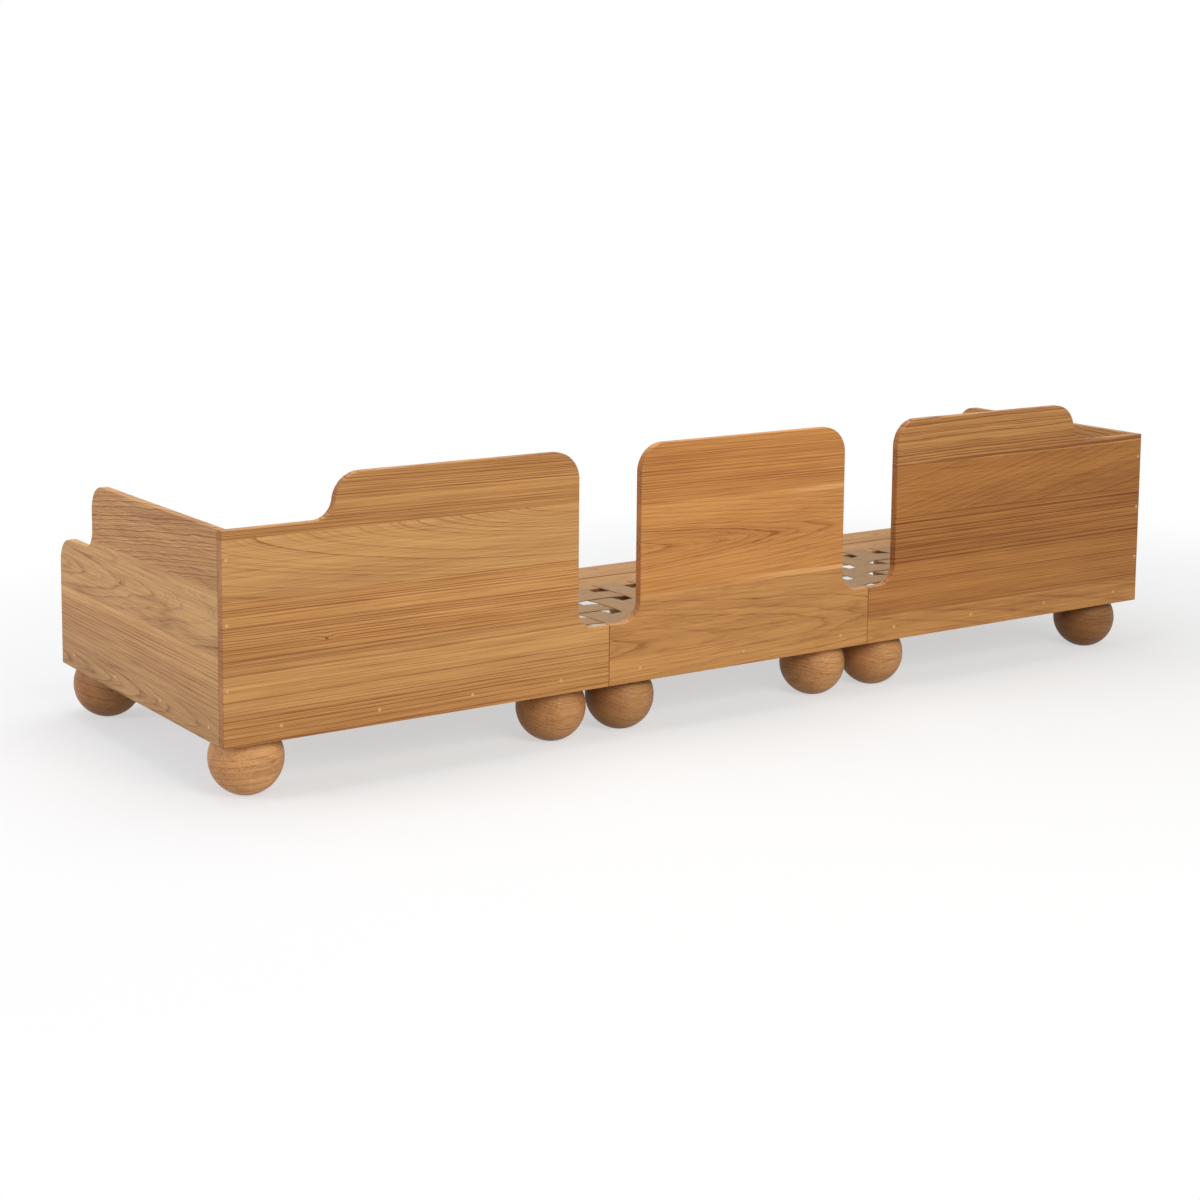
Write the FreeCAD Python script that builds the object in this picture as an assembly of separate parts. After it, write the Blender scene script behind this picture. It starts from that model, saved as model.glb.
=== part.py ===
import FreeCAD, Part
import math
import os

Vector = FreeCAD.Vector

# A low modular sofa frame in solid wood: a centre module between two end modules.
# Each module is a box of rails on four ball feet, with a panel for its back and a
# seat of woven straps, and each end module has an arm panel on its outer side.
# +X is the sitter's left, -Y is the front and +Z is up. The origin is on the floor
# under the middle of the frame. All sizes are in millimetres.

# Modules
centre_width = 770.0
end_width = 950.0
module_depth = 872.0
seam_gap = 0.6

# Panels: heights are measured from a panel's lower edge
panel_thickness = 20.0
panel_edge_round = 2.0
panel_overhang = 12.0
arm_height = 450.0
back_rise = 96.0

# Outline of the backs
notch_floor = 141.0
notch_half_width = 84.0
notch_radius = 46.0
back_corner_radius = 65.0
arm_shelf_length = 212.0
shelf_hollow_radius = 46.0
shelf_crown_radius = 64.0

# Outline of the arms
arm_step_drop = 150.0
arm_step_length = 195.0
arm_hollow_radius = 45.0
arm_crown_radius = 58.0
arm_front_radius = 58.0

# Rails and corner blocks
rail_height = 40.0
rail_thickness = 30.0
block_size = 120.0
block_cover = 10.0

# Boards of the seat
board_thickness = 15.0
ledge_width = 120.0
frame_gap = 6.0
seat_board_width = 120.0
side_board_width = 35.0
board_edge_round = 1.5

# Webbing
strap_width = 70.0
strap_thickness = 1.6
strap_clearance = 0.2
strap_lap = 35.0
strap_end_margin = 5.0
crosswise_count = 4
centre_lengthwise_count = 6
end_lengthwise_count = 8

# Ball feet and their bolts
foot_radius = 80.0
foot_sole_cut = 3.0
foot_top_cut = 17.0
foot_inset = 95.0
foot_front_inset = 42.0
bolt_radius = 5.0
bolt_clearance = 0.2
bolt_in_foot = 35.0

# Dowels that hold the panels
dowel_radius = 4.0
dowel_clearance = 0.2
dowel_cover = 8.0
end_row_count = 4
left_row_margin = 130.0
right_row_margin = 86.0
centre_row_count = 3
centre_row_margin = 86.0
arm_row_count = 4
arm_row_margin = 71.0
column_count = 3
column_foot_margin = 120.0
column_top_margin = 60.0

# How far a drill starts outside the face that it enters
drill_overrun = 2.0

# Heights above the floor
foot_height = 2 * foot_radius - foot_sole_cut - foot_top_cut
rail_bottom = foot_height
rail_top = rail_bottom + rail_height
deck_top = rail_top + board_thickness
panel_bottom = rail_bottom - panel_overhang
dowel_row_height = rail_bottom + rail_height / 2

# Places along the depth: the front feet stand out a little before the front rail
foot_front_reach = foot_radius - foot_front_inset
back_face = (module_depth + foot_front_reach) / 2
front_face = back_face - module_depth
back_inner_face = back_face - panel_thickness
ledge_back = front_face + ledge_width
seat_front = ledge_back + frame_gap
opening_front = seat_front + seat_board_width
opening_back = back_inner_face - seat_board_width

dowel_length = panel_thickness + rail_thickness - dowel_cover

nodes = {}


def line(start, end):
    """A straight edge."""
    return Part.LineSegment(start, end).toShape()


def arc(start, middle, end):
    """A circular edge through three points."""
    return Part.Arc(start, middle, end).toShape()


def box(x, y, z):
    """A block between the low and high limits on each axis."""
    return Part.makeBox(x[1] - x[0], y[1] - y[0], z[1] - z[0], Vector(x[0], y[0], z[0]))


def ogee(start, rise, hollow, crown, heading):
    """The S-curve that climbs from a low edge to a high one: a hollow, then a crown."""
    reach = hollow + crown
    turn = math.acos(max(0.0, 1.0 - rise / reach))
    upright = max(0.0, rise - reach)
    run = math.sin(turn)
    lift = 1.0 - math.cos(turn)
    half_run = math.sin(turn / 2)
    half_lift = 1.0 - math.cos(turn / 2)
    u, v = start
    low = (u + heading * hollow * run, v + hollow * lift)
    high = (low[0], low[1] + upright)
    top = (high[0] + heading * crown * run, high[1] + crown * lift)
    path = [((u + heading * hollow * half_run, v + hollow * half_lift), low)]
    if upright > 0:
        path.append((None, high))
    path.append(((top[0] - heading * crown * half_run, top[1] - crown * half_lift), top))
    return path


def round_over(corner, radius, heading):
    """The quarter circle that rounds an upright edge into a level top."""
    u, v = corner
    shrink = radius * (1.0 - math.sqrt(0.5))
    middle = (u + heading * shrink, v - shrink)
    return [(None, (u, v - radius)), (middle, (u + heading * radius, v))]


def edges_along(start, path, place):
    """The edges of a path of lines and arcs, put into space by place."""
    edges = []
    for middle, end in path:
        if middle is None:
            edges.append(line(place(start), place(end)))
        else:
            edges.append(arc(place(start), place(middle), place(end)))
        start = end
    return edges


def prism(edges, sweep):
    """The solid that a closed outline sweeps out."""
    wire = Part.Wire(Part.__sortEdges__(edges))
    return Part.Face(wire).extrude(sweep)


def dowel(start, direction):
    """A dowel that starts flush with the face it enters."""
    return Part.makeCylinder(dowel_radius, dowel_length, start, direction)


def dowel_hole(start, direction):
    """The drilled hole that a dowel sits in, as deep as the dowel is long."""
    mouth = start - direction * drill_overrun
    return Part.makeCylinder(dowel_radius + dowel_clearance, dowel_length + drill_overrun, mouth, direction)


def spread(low, high, count):
    """Evenly spaced places from low to high."""
    step = (high - low) / (count - 1)
    return [low + step * index for index in range(count)]


def strap_centres(low, high, count):
    """Centre lines of straps with equal gaps between them and to both sides."""
    gap = (high - low - count * strap_width) / (count + 1)
    return [low + gap + strap_width / 2 + (gap + strap_width) * index for index in range(count)]


def strap_profile(low, high, low_lap, high_lap, crossings, first_over):
    """Side view of a strap: flat on the boards, then over and under each crossing."""
    middle = deck_top + strap_thickness / 2
    swing = (strap_thickness + strap_clearance) / 2
    points = [(low - low_lap, middle), (low, middle)]
    over = first_over
    for centre in crossings:
        height = middle + swing if over else middle - swing
        points.append((centre - strap_width / 2, height))
        points.append((centre + strap_width / 2, height))
        over = not over
    points.append((high, middle))
    points.append((high + high_lap, middle))
    return points


def strap(points, place, across):
    """The solid strap whose side view follows the points."""
    half = strap_thickness / 2
    top = [place(along, height + half) for along, height in points]
    under = [place(along, height - half) for along, height in reversed(points)]
    corners = top + under
    wire = Part.makePolygon(corners + corners[:1])
    return Part.Face(wire).extrude(across)


class Module:
    """One module between two limits along X; arm is the side of its arm panel, or 0."""

    def __init__(self, name, low, high, arm, side_names, strap_count, row_count, row_margin):
        self.name = name
        self.low = low
        self.high = high
        self.arm = arm
        self.low_name = side_names[0]
        self.high_name = side_names[1]
        self.strap_count = strap_count
        self.row_count = row_count
        self.row_margin = row_margin
        self.frame_low = low + (panel_thickness if arm < 0 else 0.0)
        self.frame_high = high - (panel_thickness if arm > 0 else 0.0)
        self.holes = []
        self.dowels = []

    def keep(self, piece, shape):
        """Store a finished piece under the module's name."""
        nodes[self.name + "_" + piece] = shape

    def drill(self, shape):
        """Cut the dowel holes that reach a piece."""
        for hole in self.holes:
            if hole.BoundBox.intersect(shape.BoundBox):
                shape = shape.cut(hole)
        return shape

    def build(self):
        """Make every piece of the module."""
        self.set_dowels()
        self.back_panel()
        if self.arm:
            self.arm_panel()
        self.rails()
        self.feet()
        self.boards()
        self.webbing()
        self.keep("dowels", Part.makeCompound(self.dowels))

    def set_dowels(self):
        """Place the dowels: a row along each panel's foot, a column into the arm's rear edge."""
        inward = Vector(0, -1, 0)
        places = []
        for x in spread(self.low + self.row_margin, self.high - self.row_margin, self.row_count):
            places.append((Vector(x, back_face, dowel_row_height), inward))
        if self.arm:
            outer = self.high if self.arm > 0 else self.low
            middle = outer - self.arm * panel_thickness / 2
            foot = panel_bottom + column_foot_margin
            top = panel_bottom + arm_height - column_top_margin
            for z in spread(foot, top, column_count):
                places.append((Vector(middle, back_face, z), inward))
            for y in spread(front_face + arm_row_margin, back_face - arm_row_margin, arm_row_count):
                places.append((Vector(outer, y, dowel_row_height), Vector(-self.arm, 0, 0)))
        self.dowels = [dowel(start, direction) for start, direction in places]
        self.holes = [dowel_hole(start, direction) for start, direction in places]

    def back_end(self, edge, outward):
        """One end of the back's outline, from its lower corner to its top."""
        back_height = arm_height + back_rise
        if outward == self.arm:
            shelf = (edge - outward * arm_shelf_length, arm_height)
            path = [(None, (edge, arm_height)), (None, shelf)]
            return path + ogee(shelf, back_rise, shelf_hollow_radius, shelf_crown_radius, -outward)
        wall = edge - outward * notch_half_width
        floor_end = wall + outward * notch_radius
        dip = notch_radius * math.sqrt(0.5)
        middle = (floor_end - outward * dip, notch_floor + notch_radius - dip)
        path = [(None, (edge, notch_floor)), (None, (floor_end, notch_floor))]
        path.append((middle, (wall, notch_floor + notch_radius)))
        return path + round_over((wall, back_height), back_corner_radius, -outward)

    def back_panel(self):
        """The back: notched beside a neighbour, and stepped down to the arm at an outer end."""
        def place(point):
            return Vector(point[0], back_inner_face, panel_bottom + point[1])

        high_path = self.back_end(self.high, 1)
        low_path = self.back_end(self.low, -1)
        edges = edges_along((self.high, 0.0), high_path, place)
        edges += edges_along((self.low, 0.0), low_path, place)
        edges.append(line(place(high_path[-1][1]), place(low_path[-1][1])))
        edges.append(line(place((self.low, 0.0)), place((self.high, 0.0))))
        panel = prism(edges, Vector(0, panel_thickness, 0))
        rims = [edge for edge in panel.Edges if edge.BoundBox.YLength < panel_thickness / 2]
        panel = panel.makeFillet(panel_edge_round, rims)
        self.keep("back_panel", self.drill(panel))

    def arm_panel(self):
        """The arm: its rear edge butts against the back, and it steps down at the front."""
        outer = self.high if self.arm > 0 else self.low
        inner = outer - self.arm * panel_thickness
        step_height = arm_height - arm_step_drop

        def place(point):
            return Vector(inner, point[0], panel_bottom + point[1])

        start = (front_face, 0.0)
        step = (front_face + arm_step_length - arm_hollow_radius, step_height)
        path = round_over((front_face, step_height), arm_front_radius, 1)
        path.append((None, step))
        path += ogee(step, arm_step_drop, arm_hollow_radius, arm_crown_radius, 1)
        path.append((None, (back_inner_face, arm_height)))
        path.append((None, (back_inner_face, 0.0)))
        path.append((None, start))
        panel = prism(edges_along(start, path, place), Vector(self.arm * panel_thickness, 0, 0))
        rims = []
        for edge in panel.Edges:
            lies_on_side = edge.BoundBox.XLength < panel_thickness / 2
            lies_on_rear = edge.BoundBox.YMin > back_inner_face - panel_edge_round
            if lies_on_side and not lies_on_rear:
                rims.append(edge)
        panel = panel.makeFillet(panel_edge_round, rims)
        self.keep("arm_panel", self.drill(panel))

    def rails(self):
        """The box of rails under the seat: front and back run through, the sides fit between."""
        height = (rail_bottom, rail_top)
        width = (self.frame_low, self.frame_high)
        front = (front_face, front_face + rail_thickness)
        back = (back_inner_face - rail_thickness, back_inner_face)
        between = (front[1], back[0])
        low_side = (self.frame_low, self.frame_low + rail_thickness)
        high_side = (self.frame_high - rail_thickness, self.frame_high)
        self.keep("rail_front", box(width, front, height))
        self.keep("rail_back", self.drill(box(width, back, height)))
        self.keep("rail_" + self.low_name, self.drill(box(low_side, between, height)))
        self.keep("rail_" + self.high_name, self.drill(box(high_side, between, height)))

    def feet(self):
        """Four ball feet, each bolted to a block in a corner of the rails."""
        centre = foot_radius - foot_sole_cut
        sole = math.sqrt(foot_radius**2 - centre**2)
        seat = math.sqrt(foot_radius**2 - (foot_radius - foot_top_cut) ** 2)
        outline = [
            line(Vector(0, 0, 0), Vector(sole, 0, 0)),
            arc(Vector(sole, 0, 0), Vector(foot_radius, 0, centre), Vector(seat, 0, foot_height)),
            line(Vector(seat, 0, foot_height), Vector(0, 0, foot_height)),
            line(Vector(0, 0, foot_height), Vector(0, 0, 0)),
        ]
        ball = Part.Face(Part.Wire(outline)).revolve(Vector(0, 0, 0), Vector(0, 0, 1), 360)
        bolt_in_block = rail_height - block_cover
        bolt_foot = Vector(0, 0, foot_height - bolt_in_foot)
        bolt_length = bolt_in_foot + bolt_in_block
        bolt = Part.makeCylinder(bolt_radius, bolt_length, bolt_foot)
        hole = Part.makeCylinder(bolt_radius + bolt_clearance, bolt_length, bolt_foot)
        ball = ball.cut(hole)
        sides = [
            (self.low_name, self.low + foot_inset, self.frame_low + rail_thickness, 1),
            (self.high_name, self.high - foot_inset, self.frame_high - rail_thickness, -1),
        ]
        ends = [
            ("front", front_face + foot_front_inset, front_face + rail_thickness, 1),
            ("back", back_face - foot_inset, back_inner_face - rail_thickness, -1),
        ]
        blocks = []
        bolts = []
        for side_name, x, block_x, side_inward in sides:
            for end_name, y, block_y, end_inward in ends:
                centre_line = Vector(x, y, 0)
                across = sorted((block_x, block_x + side_inward * block_size))
                along = sorted((block_y, block_y + end_inward * block_size))
                block = box(across, along, (rail_bottom, rail_top))
                blocks.append(block.cut(hole.translated(centre_line)))
                bolts.append(bolt.translated(centre_line))
                self.keep("foot_" + end_name + "_" + side_name, ball.translated(centre_line))
        self.keep("corner_blocks", Part.makeCompound(blocks))
        self.keep("foot_bolts", Part.makeCompound(bolts))

    def boards(self):
        """The front ledge, and behind it the seat's own frame of four boards."""
        height = (rail_top, deck_top)
        width = (self.frame_low, self.frame_high)
        between = (opening_front, opening_back)
        low_side = (self.frame_low, self.frame_low + side_board_width)
        high_side = (self.frame_high - side_board_width, self.frame_high)
        ledge = box(width, (front_face, ledge_back), height)
        lips = []
        for edge in ledge.Edges:
            lies_along = edge.BoundBox.YLength < board_edge_round and edge.BoundBox.ZLength < board_edge_round
            if lies_along and edge.BoundBox.ZMin > rail_top:
                lips.append(edge)
        self.keep("front_ledge", ledge.makeFillet(board_edge_round, lips))
        self.keep("seat_board_front", box(width, (seat_front, opening_front), height))
        self.keep("seat_board_back", box(width, (opening_back, back_inner_face), height))
        self.keep("seat_board_" + self.low_name, box(low_side, between, height))
        self.keep("seat_board_" + self.high_name, box(high_side, between, height))

    def webbing(self):
        """Straps in plain weave, fixed on top of the seat's boards."""
        opening_low = self.frame_low + side_board_width
        opening_high = self.frame_high - side_board_width
        side_lap = side_board_width - strap_end_margin
        columns = strap_centres(opening_low, opening_high, self.strap_count)
        rows = strap_centres(opening_front, opening_back, crosswise_count)
        lengthwise = []
        for index, x in enumerate(columns):
            edge = x - strap_width / 2
            points = strap_profile(opening_front, opening_back, strap_lap, strap_lap, rows, index % 2 == 0)
            lengthwise.append(strap(points, lambda y, z: Vector(edge, y, z), Vector(strap_width, 0, 0)))
        crosswise = []
        for index, y in enumerate(rows):
            edge = y - strap_width / 2
            points = strap_profile(opening_low, opening_high, side_lap, side_lap, columns, index % 2 == 1)
            crosswise.append(strap(points, lambda x, z: Vector(x, edge, z), Vector(0, strap_width, 0)))
        self.keep("webbing_lengthwise", Part.makeCompound(lengthwise))
        self.keep("webbing_crosswise", Part.makeCompound(crosswise))


inner_edge = centre_width / 2 + seam_gap / 2
outer_edge = centre_width / 2 + end_width
centre_edge = centre_width / 2 - seam_gap / 2

Module(
    "left", inner_edge, outer_edge, 1, ("inner", "outer"),
    end_lengthwise_count, end_row_count, left_row_margin,
).build()
Module(
    "centre", -centre_edge, centre_edge, 0, ("right", "left"),
    centre_lengthwise_count, centre_row_count, centre_row_margin,
).build()
Module(
    "right", -outer_edge, -inner_edge, -1, ("outer", "inner"),
    end_lengthwise_count, end_row_count, right_row_margin,
).build()

os.makedirs("parts", exist_ok=True)
for node, shape in nodes.items():
    shape.exportStep("parts/" + node + ".step")
    solids = len(shape.Solids)
    print(node, "solids", solids, "valid", shape.isValid(), "volume", round(shape.Volume))
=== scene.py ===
"""Dresses the frame of a low modular sofa: three oak modules on ball feet, with strap seats."""
import logging
import math
from dataclasses import dataclass, field, replace
from enum import Enum
from typing import Callable, Sequence

import bmesh
import bpy
from mathutils import Matrix, Vector


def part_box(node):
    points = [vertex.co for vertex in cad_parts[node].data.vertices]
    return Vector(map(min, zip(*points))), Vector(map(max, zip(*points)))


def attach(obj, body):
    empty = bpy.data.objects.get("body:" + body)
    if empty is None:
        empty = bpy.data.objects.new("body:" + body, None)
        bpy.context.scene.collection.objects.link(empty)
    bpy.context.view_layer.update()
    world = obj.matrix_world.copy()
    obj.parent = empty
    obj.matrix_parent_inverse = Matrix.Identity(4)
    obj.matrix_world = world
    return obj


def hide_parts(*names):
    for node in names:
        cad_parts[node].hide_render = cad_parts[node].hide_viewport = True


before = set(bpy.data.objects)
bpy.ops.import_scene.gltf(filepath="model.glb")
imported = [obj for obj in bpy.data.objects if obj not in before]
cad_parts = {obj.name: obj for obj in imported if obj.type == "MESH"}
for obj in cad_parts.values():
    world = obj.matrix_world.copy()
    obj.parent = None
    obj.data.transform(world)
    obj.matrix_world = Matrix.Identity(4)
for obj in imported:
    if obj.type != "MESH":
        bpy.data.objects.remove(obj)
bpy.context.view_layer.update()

log = logging.getLogger("sofa")

Point2 = tuple[float, float]
Point3 = tuple[float, float, float]
Colour = tuple[float, float, float]
Piece = bpy.types.Object
Material = bpy.types.Material
Tree = bpy.types.NodeTree
Node = bpy.types.Node
Socket = bpy.types.NodeSocket
Value = Socket | float

# Places and sizes of the frame, in metres, as the solids have them
PANEL_THICKNESS = 0.020
PANEL_ROUND = 0.002
PANEL_BOTTOM = 0.128
BACK_FACE = 0.455
FRONT_FACE = -0.417
BACK_INNER = BACK_FACE - PANEL_THICKNESS
ARM_HEIGHT = 0.450
BACK_HEIGHT = 0.546
DECK_TOP = 0.195
DOWEL_ROW = 0.160

# Points nearer than this are the same point, in metres
SAME_PLACE = 1e-5
# Faces of a board that meet at less than this are shaded as one, in degrees
BOARD_SMOOTH = 12.0
# A face turns to end grain as its normal leans along the grain, from here on, over this span
END_GRAIN_START, END_GRAIN_SPAN = 0.25, 0.6
# The top of a stave that takes all that is left of its panel
TO_THE_TOP = 9.0


class Run(Enum):
    """The way that a board's grain runs, as the row's axes for along, across and through."""

    ACROSS_THE_ROOM = (0, 2, 1)
    FRONT_TO_BACK = (1, 2, 0)
    FLAT_ACROSS = (0, 1, 2)
    FLAT_FRONT_TO_BACK = (1, 0, 2)


class Side(Enum):
    """The side of a module that has the arm."""

    NONE = 0
    LEFT = 1
    RIGHT = -1


class StrapRun(Enum):
    """The way that a strap runs across the seat."""

    LENGTHWISE = 1
    CROSSWISE = 0


# ---------------------------------------------------------------- hand tools


class Bench:
    """Tools for modelling one piece at a time."""

    ROUND_STEPS = 3

    @staticmethod
    def clear() -> None:
        """Leaves editing and deselects every object."""
        if bpy.context.mode != "OBJECT":
            bpy.ops.object.mode_set(mode="OBJECT")
        bpy.ops.object.select_all(action="DESELECT")

    @staticmethod
    def pick(*pieces: Piece) -> None:
        """Selects pieces and makes the first one the active one.

        Args:
            pieces: The pieces.
        """
        Bench.clear()
        for piece in pieces:
            piece.select_set(True)
        bpy.context.view_layer.objects.active = pieces[0]

    @staticmethod
    def label(piece: Piece, name: str) -> None:
        """Gives a piece and its mesh one name."""
        piece.name = name
        piece.data.name = name

    @staticmethod
    def paint(piece: Piece, material: Material) -> None:
        """Gives a piece one material."""
        piece.data.materials.clear()
        piece.data.materials.append(material)

    @staticmethod
    def choose_edges(piece: Piece, wanted: Callable[[Vector, Vector], bool]) -> None:
        """Selects the edges of the piece in editing that a test on their two ends accepts.

        Args:
            piece: The piece in editing.
            wanted: Test on an edge's two ends.
        """
        bpy.ops.mesh.select_all(action="DESELECT")
        bpy.ops.mesh.select_mode(type="EDGE")
        shape = bmesh.from_edit_mesh(piece.data)
        for edge in shape.edges:
            if wanted(edge.verts[0].co, edge.verts[1].co):
                edge.select_set(True)
        shape.select_flush(True)
        bmesh.update_edit_mesh(piece.data)

    @staticmethod
    def ease(radius: float) -> None:
        """Rounds the edges that are selected in editing."""
        bpy.ops.mesh.bevel(offset=radius, segments=Bench.ROUND_STEPS, profile=0.5, affect="EDGES")

    @staticmethod
    def apply_place(piece: Piece) -> None:
        """Puts a piece's place, turn and scale into its mesh."""
        Bench.pick(piece)
        bpy.ops.object.transform_apply(location=True, rotation=True, scale=True)

    @staticmethod
    def modifier(piece: Piece, kind: str, **settings: object) -> None:
        """Adds one modifier and applies it.

        Args:
            piece: The piece that gets it.
            kind: The modifier's type.
            settings: The modifier's values.
        """
        Bench.pick(piece)
        bpy.ops.object.modifier_add(type=kind)
        made = piece.modifiers[-1]
        for name, value in settings.items():
            setattr(made, name, value)
        bpy.ops.object.modifier_apply(modifier=made.name)

    @staticmethod
    def smooth(piece: Piece, angle: float) -> None:
        """Smooths the shading between faces that meet at less than an angle in degrees."""
        Bench.pick(piece)
        bpy.ops.object.shade_smooth_by_angle(angle=math.radians(angle))

    @staticmethod
    def join(pieces: Sequence[Piece]) -> Piece:
        """Joins pieces into the first of them.

        Args:
            pieces: The pieces.

        Returns:
            The joined piece.
        """
        Bench.pick(*pieces)
        bpy.ops.object.join()
        return pieces[0]

    @staticmethod
    def remove(piece: Piece) -> None:
        """Takes away a piece that only helped."""
        Bench.pick(piece)
        bpy.ops.object.delete()


class Outline:
    """Draws an outline in an upright plane, one line or arc at a time."""

    FACET = math.radians(4.0)
    FEWEST_FACETS = 3

    def __init__(self, name: str, along: int, level: float, start: Point2) -> None:
        """Starts the outline as a single point, in editing.

        Args:
            name: The piece's name.
            along: The row axis that the outline's first coordinate lies on, 0 or 1.
            level: Where the plane is on the other level axis.
            start: The first point.
        """
        self.along = along
        self.level = level
        self.here = start
        Bench.clear()
        bpy.ops.mesh.primitive_plane_add(size=0.01, location=(0, 0, 0))
        self.piece = bpy.context.active_object
        Bench.label(self.piece, name)
        bpy.ops.object.mode_set(mode="EDIT")
        bpy.ops.mesh.select_mode(type="VERT")
        bpy.ops.mesh.select_all(action="SELECT")
        bpy.ops.mesh.merge(type="CENTER")
        bpy.ops.transform.translate(value=self.place(start))

    def place(self, point: Point2) -> Vector:
        """Puts a point of the plane into the room."""
        u, v = point
        return Vector((u, self.level, v) if self.along == 0 else (self.level, u, v))

    def line(self, *ends: Point2) -> None:
        """Draws straight lines from point to point.

        Args:
            ends: The points to go to, in turn.
        """
        for end in ends:
            step = self.place(end) - self.place(self.here)
            bpy.ops.mesh.extrude_vertices_move(TRANSFORM_OT_translate={"value": step})
            self.here = end

    def arc(self, centre: Point2, end: Point2) -> None:
        """Draws the shorter arc about a centre to a point.

        Args:
            centre: The arc's centre.
            end: The point to go to.
        """
        first = math.atan2(self.here[1] - centre[1], self.here[0] - centre[0])
        last = math.atan2(end[1] - centre[1], end[0] - centre[0])
        turn = math.remainder(last - first, 2 * math.pi)
        axis = (0, 1, 0) if self.along == 0 else (-1, 0, 0)
        steps = max(self.FEWEST_FACETS, round(abs(turn) / self.FACET))
        bpy.ops.mesh.spin(steps=steps, angle=turn, center=self.place(centre), axis=axis)
        self.here = end

    def ogee(self, rise: float, first: float, second: float) -> None:
        """Draws an S-curve from a level edge to a higher or lower one.

        Args:
            rise: How far it climbs, or how far it falls if it is below zero.
            first: Radius of the curve that it starts with.
            second: Radius of the curve that it ends with.
        """
        way = math.copysign(1.0, rise)
        turn = math.acos(max(0.0, 1.0 - abs(rise) / (first + second)))
        upright = max(0.0, abs(rise) - first - second)
        run, lift = math.sin(turn), way * (1.0 - math.cos(turn))
        u, v = self.here
        middle = (u + first * run, v + first * lift)
        self.arc((u, v + way * first), middle)
        if upright > 0:
            middle = (middle[0], middle[1] + way * upright)
            self.line(middle)
        end = (middle[0] + second * run, middle[1] + second * lift)
        self.arc((end[0], end[1] - way * second), end)

    def fill(self) -> Piece:
        """Closes the outline and makes it a face.

        Returns:
            The piece, still in editing.
        """
        bpy.ops.mesh.select_all(action="SELECT")
        bpy.ops.mesh.remove_doubles(threshold=SAME_PLACE)
        bpy.ops.mesh.edge_face_add()
        return self.piece


# ------------------------------------------------------------------ materials


@dataclass(frozen=True)
class Noise:
    """Smooth noise: its cells in a metre on each axis, its octaves, and how it bends itself."""

    cells: Point3
    detail: float = 2.0
    swirl: float = 0.0


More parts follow.
